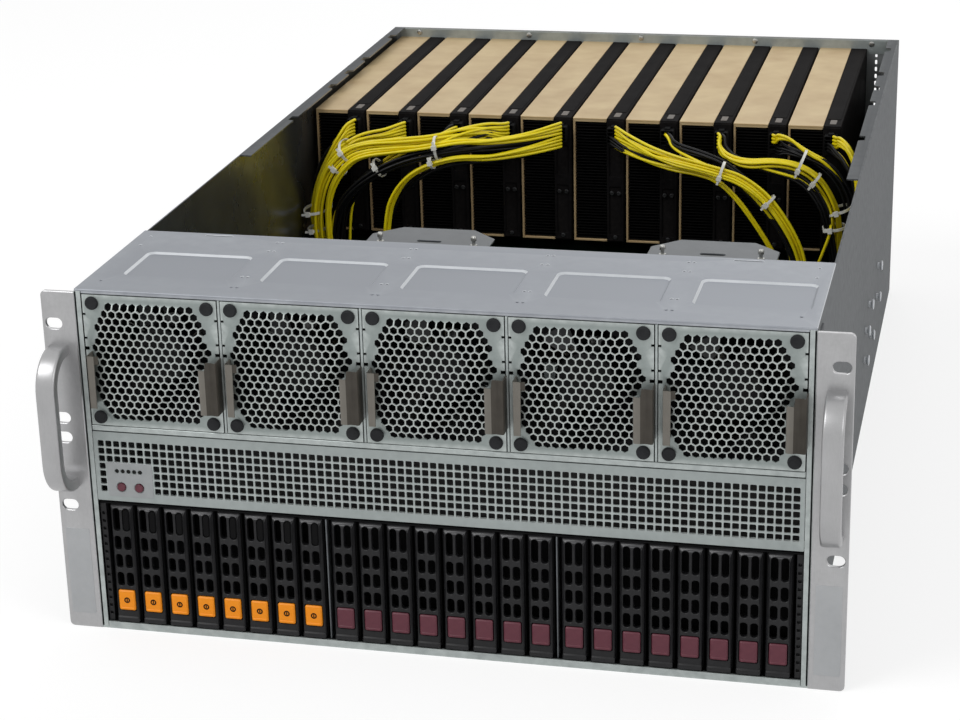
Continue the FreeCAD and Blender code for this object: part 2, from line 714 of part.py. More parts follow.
# Bow handles: flat bars bent into a U
handle = newBody("right_handle")
handleMiddle = f"({half} + slotFromWall - handleWidth / 6)"
earFace = f"({front} - earProud)"
handleTop = "(handleBottom + handleHeight)"
bow = sketch(handle, "handle_bow", "YZ_Plane", f"{handleMiddle} - handleWidth / 2")
polygon(bow, [
    (earFace, "handleBottom"),
    (f"{earFace} - handleReach", "handleBottom"),
    (f"{earFace} - handleReach", handleTop),
    (earFace, handleTop),
    (earFace, f"{handleTop} - handleThickness"),
    (f"{earFace} - handleReach + handleThickness", f"{handleTop} - handleThickness"),
    (f"{earFace} - handleReach + handleThickness", "handleBottom + handleThickness"),
    (earFace, "handleBottom + handleThickness"),
])
pad(handle, bow, "handleWidth")


def bendAt(offset):
    near = -read("chassisDepth") / 2 - read("earProud") - read("handleReach") + offset
    return lambda edge: abs(edge.CenterOfMass.y - near) < 1e-6 and edge.BoundBox.ZLength < 1e-6


rounded(handle, "outer_bend", bendAt(0.0), "handleBend")
rounded(handle, "inner_bend", bendAt(read("handleThickness")), "handleBend - handleThickness")
nodes["ear_handles"] = group("ear_handles", [handle, mirrored("left_handle", handle)])

# Rear panel: card windows above, power supplies and ports below
panel = box("rear_sheet", (f"-{inner}", f"{rear} - sheetSteel", "sheetSteel"), (inner, rear, ceiling))
through = (f"{rear} - 2 * sheetSteel", f"{rear} + sheetSteel")
rearCuts = []
for k in range(10):
    left = f"cardFirst + {k} * cardPitch"
    rearCuts.append(box(f"card_window_{k + 1}",
                        (f"{left} + 2 * shroudWall", through[0], f"{cardBottom} + 2 * shroudWall"),
                        (f"{left} + shroudWidth + coverWidth - 2 * shroudWall", through[1],
                         "cardTop - 2 * coverWidth")))
rearCuts.append(box("supply_window", (f"{supplyBay} + sheetSteel", through[0], "0"),
                    (half, through[1], "2 * supplyHeight + 5 * sheetSteel")))
portLow = "(systemHeight + boardThickness)"
for k in range(6):
    left = f"portFirst + {k} * portPitch"
    rearCuts.append(box(f"port_window_{k + 1}", (f"{left} - fitGap", through[0], f"{portLow} - fitGap"),
                        (f"{left} + portWidth + fitGap", through[1], f"{portLow} + portHeight + fitGap")))
nodes["rear_panel"] = cut("rear_panel", panel, rearCuts)

# Card shelf: sheet between the walls with a rear seat on the panel, and stand-offs under the expansion board
shelf = [box("shelf_sheet", (f"-{inner}", f"{front} + shelfFront", "shelfHeight - sheetSteel"),
             (inner, f"{rear} - sheetSteel", "shelfHeight"))]
boardFront = f"({rear} - 2 * sheetSteel - expansionDepth)"
postInset = "3 * standoffRadius"
for k in range(3):
    for j in range(3):
        x = f"({k} - 1) * (expansionWidth / 2 - {postInset})"
        y = f"{boardFront} + {postInset} + {j} * (expansionDepth / 2 - {postInset})"
        shelf.append(post(f"standoff_{k}_{j}", (x, y, "shelfHeight"), "expansionHeight - shelfHeight"))
nodes["card_shelf"] = fuse("card_shelf", shelf)

# Expansion board with one long socket under each card and one plug for each power cable
boardTop = "(expansionHeight + boardThickness)"
expansion = [box("expansion_board_sheet", ("-expansionWidth / 2", boardFront, "expansionHeight"),
                 ("expansionWidth / 2", f"{rear} - 2 * sheetSteel", boardTop))]
for k in range(10):
    left = f"cardFirst + {k} * cardPitch + shroudWidth + (coverWidth - socketWidth) / 2"
    expansion.append(box(f"card_socket_{k + 1}", (left, f"{cardFront} + socketInset", boardTop),
                         (f"{left} + socketWidth", f"{cardFront} + socketInset + socketLength", cardBottom)))

# Each cable runs in a lane ahead of the card fronts: the lane, then its turns in that lane, as x in card
# pitches from the centre and the drop below the card tops in card heights
cableRuns = [
    (0, [(-5.07, 0.32)]),
    (1, [(-4.35, 0.18), (-5.0, 0.45)]),
    (2, [(-3.445, 0.175), (-4.454, 0.546)]),
    (3, [(-2.6, 0.15), (-4.1, 0.19), (-4.9, 0.45)]),
    (3, [(-1.28, 0.278), (-2.953, 0.381), (-3.691, 0.691)]),
    (3, [(2.215, 0.237), (4.232, 0.649)]),
    (2, [(2.83, 0.216), (3.937, 0.598)]),
    (1, [(3.691, 0.165), (4.81, 0.495)]),
    (0, [(5.07, 0.34)]),
    (2, [(5.118, 0.289)]),
]
for k, (lane, turns) in enumerate(cableRuns):
    x = f"{turns[-1][0]} * cardPitch"
    y = f"{cardFront} - cableLead - {lane} * cableLane"
    expansion.append(box(f"board_plug_{k + 1}", (f"{x} - plugSide / 2", f"{y} - plugSide / 2", boardTop),
                         (f"{x} + plugSide / 2", f"{y} + plugSide / 2", f"{boardTop} + plugRise")))
nodes["expansion_board"] = fuse("expansion_board", expansion)

# Accelerator card: channel shroud, finned heat sink set back in its mouth, board cover with a bracket
shroud = newBody("card_shroud")
shroudDrawing = sketch(shroud, "shroud_profile", "XZ_Plane", f"-({rear} - sheetSteel)")
polygon(shroudDrawing, [
    ("0", cardBottom),
    ("shroudWidth", cardBottom),
    ("shroudWidth", f"{cardBottom} + shroudWall"),
    ("shroudWall", f"{cardBottom} + shroudWall"),
    ("shroudWall", "cardTop - shroudWall"),
    ("shroudWidth", "cardTop - shroudWall"),
    ("shroudWidth", "cardTop"),
    ("0", "cardTop"),
])
pad(shroud, shroudDrawing, "cardLength")
sink = newBody("card_sink")
frontSlab(sink, "sink_block", ("shroudWall", f"{cardBottom} + shroudWall"),
          ("shroudWidth", "cardTop - shroudWall"), f"{rear} - sheetSteel", "cardLength - inletDepth")
finDrawing = sketch(sink, "fin_slot", "XZ_Plane", f"-({cardFront} + inletDepth)")
rectangle(finDrawing, ("shroudWall + (finPitch - finSlot) / 2", f"{cardBottom} + 2 * shroudWall"),
          ("shroudWall + (finPitch - finSlot) / 2 + finSlot", "cardTop - 2 * shroudWall"))
row(sink, pocket(sink, finDrawing, "finSlotDepth"), finDrawing, "H_Axis", "finPitch", 2)
plugLeft = "(shroudWidth + (coverWidth - plugSide) / 2)"
cardCover = fuse("card_cover", [
    box("card_cover_block", ("shroudWidth", cardFront, cardBottom),
        ("shroudWidth + coverWidth", f"{rear} - sheetSteel", "cardTop")),
    box("card_plug", (plugLeft, f"{cardFront} - plugSide", "cardTop - plugDrop - plugRise"),
        (f"{plugLeft} + plugSide", cardFront, "cardTop - plugDrop")),
])
for name, source in (("card_shrouds", shroud), ("card_heat_sinks", sink), ("card_covers", cardCover)):
    copies = [copy(f"{name}_{k + 1}", source, f"cardFirst + {k} * cardPitch") for k in range(10)]
    nodes[name] = group(name, copies)

# Power cables: six-sided bundles out of each card's plug, across the card fronts and down to the board


def cable(name, points, radius):
    vectors = [Vector(*point) for point in points]
    edges = []
    start = vectors[0]
    for before, corner, after in zip(vectors, vectors[1:], vectors[2:]):
        arriving = (corner - before).normalize()
        leaving = (after - corner).normalize()
        setback = min((corner - before).Length, (after - corner).Length) / 2.2
        turn = arriving.getAngle(leaving)
        bend = setback / math.tan(turn / 2)
        arcStart = corner - arriving * setback
        arcEnd = corner + leaving * setback
        middle = corner + (leaving - arriving).normalize() * (bend / math.cos(turn / 2) - bend)
        edges.append(Part.LineSegment(start, arcStart).toShape())
        edges.append(Part.Arc(arcStart, middle, arcEnd).toShape())
        start = arcEnd
    edges.append(Part.LineSegment(start, vectors[-1]).toShape())
    path = Part.Wire(edges)
    corners = [Vector(math.cos(k * math.pi / 3), 0, math.sin(k * math.pi / 3)) * radius for k in range(7)]
    end = Part.Face(Part.makePolygon([vectors[0] + corner for corner in corners]))
    piece = doc.addObject("Part::Feature", name)
    piece.Shape = path.makePipe(end)
    if abs(piece.Shape.Volume / (end.Area * path.Length) - 1) > 0.01:
        raise RuntimeError(f"{name} has a pinched bend")
    return piece


cables = []
cardNear = read("chassisDepth") / 2 - read("sheetSteel") - read("cardLength")
plugMiddle = read("cardTop") - read("plugDrop") - read("plugRise") / 2
landing = read("expansionHeight") + read("boardThickness") + read("plugRise")
for k, (lane, turns) in enumerate(cableRuns):
    plugX = read("cardFirst") + k * read("cardPitch") + read("shroudWidth") + read("coverWidth") / 2
    plane = cardNear - read("cableLead") - lane * read("cableLane")
    route = [(plugX, cardNear - read("plugSide"), plugMiddle), (plugX, plane, plugMiddle)]
    for share, drop in turns:
        route.append((share * read("cardPitch"), plane, read("cardTop") - drop * read("cardHeight")))
    route.append((route[-1][0], plane, landing))
    cables.append(cable(f"power_cable_{k + 1}", route, read("cableRadius")))
nodes["power_cables"] = group("power_cables", cables)

# System board on stand-offs with two heat sinks, memory modules and the rear ports
systemLeft = f"(-{inner} + 2 * fitGap)"
systemNear = f"({rear} - 2 * sheetSteel - systemDepth)"
systemTop = "(systemHeight + boardThickness)"
system = [box("system_sheet", (systemLeft, systemNear, "systemHeight"),
              (f"{systemLeft} + systemWidth", f"{rear} - 2 * sheetSteel", systemTop))]
for k in range(2):
    for j in range(3):
        x = f"{systemLeft} + {postInset} + {k} * (systemWidth - 2 * {postInset})"
        y = f"{systemNear} + {postInset} + {j} * (systemDepth / 2 - {postInset})"
        system.append(post(f"system_standoff_{k}_{j}", (x, y, "sheetSteel"), "systemHeight - sheetSteel"))
sinks = []
sinkInset = "4 * standoffRadius"
sinkNear = f"({systemNear} + {sinkInset})"
for k in range(2):
    left = f"({systemLeft} + {sinkInset} + {k} * (systemWidth - 2 * {sinkInset} - heatsinkWidth))"
    sinks.append(box(f"processor_sink_{k + 1}", (left, sinkNear, systemTop),
                     (f"{left} + heatsinkWidth", f"{sinkNear} + heatsinkDepth",
                      f"{systemTop} + heatsinkHeight")))
nodes["processor_heat_sinks"] = group("processor_heat_sinks", sinks)
boardParts = [fuse("system_sheet_whole", system)]
memoryNear = f"({sinkNear} + heatsinkDepth + 2 * standoffRadius)"
for k in range(int(read("memoryCount"))):
    left = f"({systemLeft} + systemWidth / 2 + ({k} - memoryCount / 2) * memoryPitch)"
    boardParts.append(box(f"memory_{k + 1}", (left, memoryNear, systemTop),
                          (f"{left} + boardThickness", f"{memoryNear} + memoryLength",
                           f"{systemTop} + memoryHeight")))
for k in range(6):
    left = f"portFirst + {k} * portPitch"
    boardParts.append(box(f"port_{k + 1}", (left, f"{rear} - portDepth", systemTop),
                          (f"{left} + portWidth", f"{rear} + sheetSteel", f"{systemTop} + portHeight")))
nodes["system_board"] = group("system_board", boardParts)

# Power supplies: four sliding units in a two by two bay
supplyNear = f"({rear} - supplyLength)"
bayRear = f"({rear} - 2 * sheetSteel)"
rowRise = "(supplyHeight + 2 * supplyGap + sheetSteel)"
columnStep = "(supplyWidth + 2 * supplyGap + sheetSteel)"
bay = [
    box("bay_side", (supplyBay, supplyNear, "sheetSteel"),
        (f"{supplyBay} + sheetSteel", bayRear, f"2 * {rowRise}")),
    box("bay_middle", (f"{supplyBay} + {columnStep}", supplyNear, "sheetSteel"),
        (f"{supplyBay} + {columnStep} + sheetSteel", bayRear, f"2 * {rowRise}")),
    box("bay_deck", (supplyBay, supplyNear, rowRise),
        (f"{inner} - fitGap", bayRear, f"{rowRise} + sheetSteel")),
]
nodes["supply_bay"] = fuse("supply_bay", bay)
gripLeft = "(supplyWidth - 2 * gripThickness - gripWidth)"
gripRight = f"({gripLeft} + gripWidth)"
gripLow = "(supplyHeight - gripThickness) / 2"
gripHigh = "(supplyHeight + gripThickness) / 2"
gripEnd = "(supplyLength + gripReach)"
supplySolid = fuse("supply_solid", [
    box("supply_block", ("0", "0", "0"), ("supplyWidth", "supplyLength", "supplyHeight")),
    box("supply_grip_left", (gripLeft, "supplyLength", gripLow),
        (f"{gripLeft} + gripThickness", gripEnd, gripHigh)),
    box("supply_grip_right", (f"{gripRight} - gripThickness", "supplyLength", gripLow),
        (gripRight, gripEnd, gripHigh)),
    box("supply_grip_bar", (gripLeft, f"{gripEnd} - gripThickness", gripLow),
        (gripRight, gripEnd, gripHigh)),
])
inlet = box("supply_inlet",
            ("gripThickness", "supplyLength - gripReach", "(supplyHeight - inletHeight) / 2"),
            ("gripThickness + inletWidth", "supplyLength + sheetSteel", "(supplyHeight + inletHeight) / 2"))
supply = cut("supply_case", supplySolid, [inlet])
for k in range(4):
    name = f"power_supply_{k + 1}"
    nodes[name] = copy(name, supply, f"{supplyBay} + sheetSteel + supplyGap + {k % 2} * {columnStep}",
                       supplyNear, f"sheetSteel + supplyGap + {k // 2} * {rowRise}")

doc.recompute()

# Every object has to be whole before anything is written
for item in doc.Objects:
    if "Invalid" in item.State or "Error" in item.State:
        raise RuntimeError(f"{item.Label} failed: {item.State}")
os.makedirs("parts", exist_ok=True)
for name, item in nodes.items():
    shape = Part.getShape(item)
    if shape.isNull() or not shape.isValid():
        raise RuntimeError(f"{name} has no valid shape")
    shape.exportStep(f"parts/{name}.step")
print(len(nodes), "parts written")
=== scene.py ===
import math
import random

import bmesh
import bpy
from mathutils import Matrix, Vector
from mathutils.geometry import delaunay_2d_cdt


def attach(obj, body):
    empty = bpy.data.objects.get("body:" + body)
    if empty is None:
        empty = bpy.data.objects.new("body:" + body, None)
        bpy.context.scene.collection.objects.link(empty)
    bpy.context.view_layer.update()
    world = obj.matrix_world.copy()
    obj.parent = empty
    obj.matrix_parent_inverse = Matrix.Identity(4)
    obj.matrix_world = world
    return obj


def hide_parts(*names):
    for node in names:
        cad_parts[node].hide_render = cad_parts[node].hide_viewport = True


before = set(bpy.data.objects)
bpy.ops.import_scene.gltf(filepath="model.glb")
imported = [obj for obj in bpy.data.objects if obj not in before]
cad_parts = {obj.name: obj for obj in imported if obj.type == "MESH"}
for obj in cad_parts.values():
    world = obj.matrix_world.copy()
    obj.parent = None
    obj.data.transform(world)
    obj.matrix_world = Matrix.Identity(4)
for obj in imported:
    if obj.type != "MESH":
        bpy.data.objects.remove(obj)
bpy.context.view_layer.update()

mm = 0.001
shuffle = random.Random(11)
scene = bpy.context.scene
print("frame loaded:", len(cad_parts), "nodes")


class Sizes(dict):
    # one piece's sizes, each read by its name: card.pitch
    __getattr__ = dict.__getitem__


# Finishes

def srgb(*colour):
    channels = [value / 255 for value in colour]
    return tuple(c / 12.92 if c < 0.04045 else ((c + 0.055) / 1.055) ** 2.4 for c in channels) + (1.0,)


def addNode(tree, kind, inputs={}, **settings):
    # a plain value is set on its socket, and another node's output is linked to it
    node = tree.nodes.new(kind)
    for name, value in settings.items():
        setattr(node, name, value)
    for socket, value in inputs.items():
        if isinstance(value, bpy.types.NodeSocket):
            tree.links.new(value, node.inputs[socket])
        else:
            node.inputs[socket].default_value = value
    return node.outputs


def mathNode(tree, operation, first, second, clamp=False):
    return addNode(tree, "ShaderNodeMath", {0: first, 1: second}, operation=operation, use_clamp=clamp)[0]


def newGroup(name, inputs, outputs):
    tree = bpy.data.node_groups.new(name, "ShaderNodeTree")
    for label, kind, value in inputs:
        tree.interface.new_socket(label, in_out="INPUT", socket_type=kind).default_value = value
    for label in outputs:
        tree.interface.new_socket(label, in_out="OUTPUT", socket_type="NodeSocketFloat")
    return tree, tree.nodes.new("NodeGroupInput").outputs, tree.nodes.new("NodeGroupOutput").inputs


def buildGrain():
    # broad mottle and drawn-out streaks for the colour, and a fine layer for the bump
    tree, given, result = newGroup("surfaceGrain", [
        ("Scale", "NodeSocketFloat", 200.0), ("Stretch", "NodeSocketVector", (1, 1, 1)),
        ("Streaks", "NodeSocketFloat", 0.5)], ["Blend", "Fine"])
    spot = addNode(tree, "ShaderNodeTexCoord")["Object"]
    drawn = addNode(tree, "ShaderNodeVectorMath", {0: spot, 1: given["Stretch"]}, operation="MULTIPLY")[0]
    broad, close = (mathNode(tree, "MULTIPLY", given["Scale"], share) for share in (0.13, 5))
    mottle, streak, fine = (
        addNode(tree, "ShaderNodeTexNoise", {"Vector": vector, "Scale": scale, "Detail": detail})[0]
        for vector, scale, detail in ((spot, broad, 3), (drawn, given["Scale"], 4), (drawn, close, 2)))
    mixed = addNode(tree, "ShaderNodeMix", {"Factor": given["Streaks"], 2: mottle, 3: streak})[0]
    spread = addNode(tree, "ShaderNodeMapRange", {"Value": mixed, "From Min": 0.3, "From Max": 0.7})[0]
    tree.links.new(spread, result["Blend"])
    tree.links.new(fine, result["Fine"])
    return tree


def buildEdgeRub():
    # bare metal or pale plastic where the edges have been rubbed
    tree, given, result = newGroup("edgeRub", [
        ("Amount", "NodeSocketFloat", 0.5), ("Scale", "NodeSocketFloat", 300.0)], ["Mask"])
    sharp = addNode(tree, "ShaderNodeNewGeometry")["Pointiness"]
    edge = addNode(tree, "ShaderNodeMapRange", {"Value": sharp, "From Min": 0.52, "From Max": 0.64})[0]
    spot = addNode(tree, "ShaderNodeTexCoord")["Object"]
    patch = addNode(tree, "ShaderNodeTexNoise", {"Vector": spot, "Scale": given["Scale"]})[0]
    broken = mathNode(tree, "MULTIPLY", edge, patch)
    mask = mathNode(tree, "MULTIPLY", broken, given["Amount"], clamp=True)
    tree.links.new(mask, result["Mask"])
    return tree


grainGroup = buildGrain()
rubGroup = buildEdgeRub()
reliefDepth = 0.4 * mm
finishes, slotOf = {}, {}


def addFinish(name, slot, dark, light, rough, scale, bump, metallic=0.0, streaks=0.3, stretch=(1, 1, 1),
              specular=0.5, rub=0.0, rubColour=(255, 255, 255)):
    material = bpy.data.materials.new(name)
    material.use_nodes = True
    tree = material.node_tree
    grain = addNode(tree, "ShaderNodeGroup", {"Scale": scale, "Stretch": stretch, "Streaks": streaks},
                    node_tree=grainGroup)
    colour = addNode(tree, "ShaderNodeMix", {"Factor": grain["Blend"], 6: srgb(*dark), 7: srgb(*light)},
                     data_type="RGBA")[2]
    if rub:
        worn = addNode(tree, "ShaderNodeGroup", {"Amount": rub, "Scale": scale}, node_tree=rubGroup)["Mask"]
        colour = addNode(tree, "ShaderNodeMix", {"Factor": worn, 6: colour, 7: srgb(*rubColour)},
                         data_type="RGBA")[2]
    gloss = addNode(tree, "ShaderNodeMapRange",
                    {"Value": grain["Blend"], "To Min": rough[0], "To Max": rough[1]})[0]
    relief = addNode(tree, "ShaderNodeBump",
                     {"Height": grain["Fine"], "Strength": bump, "Distance": reliefDepth})[0]
    shader = tree.nodes["Principled BSDF"].inputs
    shader["Metallic"].default_value = metallic
    shader["Specular IOR Level"].default_value = specular
    for socket, source in (("Base Color", colour), ("Roughness", gloss), ("Normal", relief)):
        tree.links.new(source, shader[socket])
    finishes[name], slotOf[name] = material, slot


addFinish("zincSteel", "zinc_steel", (140, 147, 146), (153, 160, 159), (0.36, 0.46), 200, 0.04,
          metallic=0.55, rub=0.7, rubColour=(205, 212, 210))
addFinish("wallSteel", "zinc_steel", (102, 104, 105), (112, 114, 115), (0.25, 0.29), 60, 0.01, metallic=0.9,
          streaks=0.2, rub=0.5, rubColour=(190, 194, 196))
# painted shade: a darker, duller copy of the wall steel for the outside faces, which sit in shade
addFinish("outerSteelPaintedShade", "zinc_steel", (86, 88, 90), (92, 94, 96), (0.58, 0.66), 160, 0.02, metallic=0.1,
          specular=0.04, rub=0.5, rubColour=(150, 153, 155))
# painted shade: near-black steel for the dark inside of the chassis
addFinish("innerSteelPaintedShade", "zinc_steel", (30, 31, 32), (42, 43, 44), (0.5, 0.62), 160, 0.05, metallic=0.2,
          specular=0.15)
addFinish("railSteel", "zinc_steel", (142, 145, 146), (152, 155, 156), (0.38, 0.48), 200, 0.04,
          metallic=0.5, rub=0.5, rubColour=(200, 203, 204))
# painted shade: a darker copy of the zinc steel for drives, cage dividers and hold-down plates
addFinish("paintedShadeSteel", "zinc_steel", (76, 79, 82), (87, 90, 93), (0.4, 0.5), 120, 0.03, metallic=0.6,
          rub=0.5, rubColour=(150, 154, 156))
addFinish("coverSteel", "cover_steel", (129, 133, 140), (137, 141, 148), (0.4, 0.5), 120, 0.03,
          metallic=0.45, rub=0.6, rubColour=(206, 210, 214))
# pale finish: painted highlight on the pressed panels' edge slopes, and the pale steel of the rail studs
addFinish("paleSteelAndEdgeHighlight", "cover_steel", (192, 196, 200), (208, 211, 215), (0.3, 0.4), 200, 0.03, metallic=0.2)
addFinish("fanZinc", "fan_zinc", (132, 140, 138), (148, 156, 154), (0.34, 0.46), 240, 0.04, metallic=0.55,
          rub=0.9, rubColour=(210, 216, 214))
# painted highlight: a lighter zinc for the honeycomb webs, which catch the light
addFinish("webZincHighlight", "fan_zinc", (160, 166, 163), (176, 182, 179), (0.34, 0.46), 240, 0.04, metallic=0.4,
          rub=0.9, rubColour=(220, 226, 224))
addFinish("satinAluminium", "satin_aluminium", (158, 158, 159), (172, 172, 173), (0.3, 0.38), 420, 0.03,
          metallic=0.7, streaks=0.4, stretch=(6, 6, 0.6), rub=0.5, rubColour=(225, 225, 226))
# spring clips: a dark copy of the steel, painted shade and dark reflection
addFinish("clipPaintedShade", "zinc_steel", (50, 46, 42), (74, 70, 64), (0.3, 0.4), 140, 0.02, metallic=0.05,
          streaks=0.6, stretch=(2, 1, 0.1), specular=0.1, rub=0.12, rubColour=(150, 146, 138))
# spring clips: a lighter copy of the same steel, painted light on the strips that catch it
addFinish("clipPaintedLight", "zinc_steel", (98, 94, 87), (114, 110, 103), (0.3, 0.4), 140, 0.02, metallic=0.2,
          streaks=0.4, stretch=(2, 1, 0.1), specular=0.25, rub=0.15, rubColour=(186, 183, 176))
addFinish("trayPlastic", "black_plastic", (17, 17, 18), (27, 27, 29), (0.38, 0.5), 420, 0.12, streaks=0.4,
          specular=0.25, rub=0.3, rubColour=(66, 66, 69))
# painted highlight: a lighter grey for the light the tray's rounded top catches
addFinish("trayCrown", "black_plastic", (58, 58, 60), (82, 82, 84), (0.3, 0.42), 420, 0.1, streaks=0.4)
# black of the fan frames, tray parts, plugs and marks, also used as painted shade on the cage sheets and port
# hollows
addFinish("blackPartsAndPaintedShade", "black_plastic", (6, 6, 7), (12, 12, 13), (0.65, 0.8), 300, 0.05, streaks=0.5,
          specular=0.1)
addFinish("amberPlastic", "maroon_plastic", (250, 142, 4), (255, 155, 10), (0.34, 0.44), 300, 0.06,
          specular=0.3, rub=0.3, rubColour=(252, 184, 80))
addFinish("maroonPlastic", "maroon_plastic", (84, 38, 50), (98, 48, 60), (0.34, 0.44), 300, 0.06,
          specular=0.3, rub=0.3, rubColour=(150, 90, 98))
addFinish("goldShroud", "gold_shroud", (170, 143, 106), (175, 148, 110), (0.46, 0.52), 40, 0.02,
          metallic=0.25, streaks=0.1, specular=0.2, rub=0.8, rubColour=(216, 198, 156))
addFinish("cardBlack", "black_plastic", (15, 14, 15), (24, 23, 24), (0.5, 0.64), 360, 0.08, streaks=0.4,
          specular=0.01, rub=0.4, rubColour=(54, 50, 47))
addFinish("finBlack", "dark_aluminium", (6, 6, 6), (15, 14, 14), (0.44, 0.58), 300, 0.05, metallic=0.3,
          streaks=0.7, stretch=(5, 1, 1), specular=0.2)
addFinish("yellowWire", "yellow_wire", (230, 208, 6), (248, 230, 16), (0.34, 0.44), 180, 0.03, streaks=0.4)
addFinish("blackWire", "black_plastic", (8, 8, 9), (15, 15, 16), (0.34, 0.46), 180, 0.03, streaks=0.4,
          specular=0.2)
addFinish("nylonTie", "grey_plastic", (214, 214, 206), (238, 238, 232), (0.3, 0.42), 400, 0.05, streaks=0.4)
addFinish("rubberPin", "black_plastic", (26, 27, 29), (44, 45, 47), (0.65, 0.8), 900, 0.25, specular=0.2)
addFinish("boardGreen", "circuit_board", (14, 38, 26), (26, 60, 40), (0.34, 0.48), 420, 0.08, streaks=0.7,
          stretch=(1, 6, 1))
addFinish("screwSteel", "zinc_steel", (118, 118, 115), (176, 176, 171), (0.22, 0.34), 600, 0.06,
          metallic=0.9, streaks=0.4, rub=0.5, rubColour=(230, 230, 228))
addFinish("dimScrew", "zinc_steel", (24, 24, 25), (40, 40, 41), (0.4, 0.52), 600, 0.06, metallic=0.6,
          streaks=0.4, specular=0.2, rub=0.4, rubColour=(80, 81, 82))
addFinish("supplyCase", "supply_case", (142, 145, 147), (172, 175, 177), (0.36, 0.5), 220, 0.05,
          metallic=0.6, streaks=0.35, rub=0.6, rubColour=(210, 212, 214))
addFinish("sinkAluminium", "satin_aluminium", (160, 162, 164), (196, 198, 200), (0.3, 0.44), 300, 0.06,
          metallic=0.85, streaks=0.7, stretch=(1, 0.4, 6))
addFinish("bladePlastic", "black_plastic", (8, 8, 9), (18, 19, 20), (0.4, 0.52), 260, 0.05, specular=0.15)
addFinish("blankPlate", "grey_plastic", (164, 166, 168), (180, 182, 184), (0.42, 0.56), 200, 0.03,
          metallic=0.2)
addFinish("labelGrey", "grey_plastic", (74, 68, 62), (104, 96, 88), (0.5, 0.64), 900, 0.03)
addFinish("lampLens", "grey_plastic", (12, 13, 12), (20, 22, 20), (0.3, 0.4), 500, 0.02, specular=0.12)
addFinish("contactGold", "gold_shroud", (178, 140, 60), (214, 178, 92), (0.25, 0.36), 500, 0.04,
          metallic=0.95, streaks=0.4)
print("finishes made:", len(finishes))


# Shapes in millimetres: each is (points, faces), with y as the depth behind the front

def joined(shapes):
    points, faces = [], []
    for corners, sides in shapes:
        start = len(points)
        points += corners
        faces += [tuple(index + start for index in side) for side in sides]
    return points, faces


def mapped(shape, change):
    return [change(*point) for point in shape[0]], shape[1]


def moved(shape, x=0, y=0, z=0):
    return mapped(shape, lambda a, b, c: (a + x, b + y, c + z))


def flipped(shape):
    return mapped(shape, lambda a, b, c: (-a, b, c))


def pair(shape):
    return joined([shape, flipped(shape)])


def laidFlat(shape, top):
    return mapped(shape, lambda a, b, c: (a, c, top - b))


def onSide(shape, x):
    return mapped(shape, lambda a, b, c: (x - b, a, c))


def facingBack(shape, y):
    return mapped(shape, lambda a, b, c: (a, y - b, c))


def repeated(shape, spots):
    return joined([moved(shape, *spot) for spot in spots])


def block(low, high):
    (x0, y0, z0), (x1, y1, z1) = low, high
    points = [(x, y, z) for z in (z0, z1) for x, y in ((x0, y0), (x1, y0), (x1, y1), (x0, y1))]
    return points, [(0, 3, 2, 1), (4, 5, 6, 7), (0, 1, 5, 4), (1, 2, 6, 5), (2, 3, 7, 6), (3, 0, 4, 7)]


def circleLoop(x, z, radius, steps=24, turn=0.0):
    angles = [turn + 2 * math.pi * k / steps for k in range(steps)]
    return [(x + radius * math.cos(a), z + radius * math.sin(a)) for a in angles]


def hexLoop(x, z, width):
    return circleLoop(x, z, width / math.sqrt(3), 6, math.pi / 6)


def roundRect(x0, z0, x1, z1, radius, steps=4):
    corners = [(x1 - radius, z0 + radius, -0.5), (x1 - radius, z1 - radius, 0.0),
               (x0 + radius, z1 - radius, 0.5), (x0 + radius, z0 + radius, 1.0)]
    loop = []
    for cx, cz, start in corners:
        for k in range(steps + 1):
            angle = math.pi * (start + 0.5 * k / steps)
            loop.append((cx + radius * math.cos(angle), cz + radius * math.sin(angle)))
    return loop


def grown(loop, distance):
    # each point moves out along the middle of its two sides' directions
    result = []
    for k, (x, z) in enumerate(loop):
        before, here, after = (Vector(loop[(k + step) % len(loop)]) for step in (-1, 0, 1))
        first, second = (here - before).normalized(), (after - here).normalized()
        out = Vector((first.y + second.y, -first.x - second.x))
        out /= max(out.length_squared / 2, 0.2)
        result.append((x + out.x * distance, z + out.y * distance))
    return result


def cutSheet(outline, holes=(), creases=()):
    points, owner, edges, loops = [], [], [], []
    for number, loop in enumerate([outline, *holes, *creases]):
        indices = range(len(points), len(points) + len(loop))
        points += loop
        owner += [number] * len(loop)
        edges += [(indices[k - 1], indices[k]) for k in range(len(loop))]
        loops.append(indices)
    result = delaunay_2d_cdt([Vector(p) for p in points], edges, [], 1, 1e-6)
    source = [ids[0] for ids in result[3]]
    isHole = range(1, len(holes) + 1)
    sides = []
    for triangle in result[2]:
        ends = [source[index] for index in triangle]
        owners = {owner[end] for end in ends}
        if len(owners) > 1 or owners.pop() not in isHole:
            sides.append(tuple(ends))
    return points, sides, loops[:1 + len(holes)]


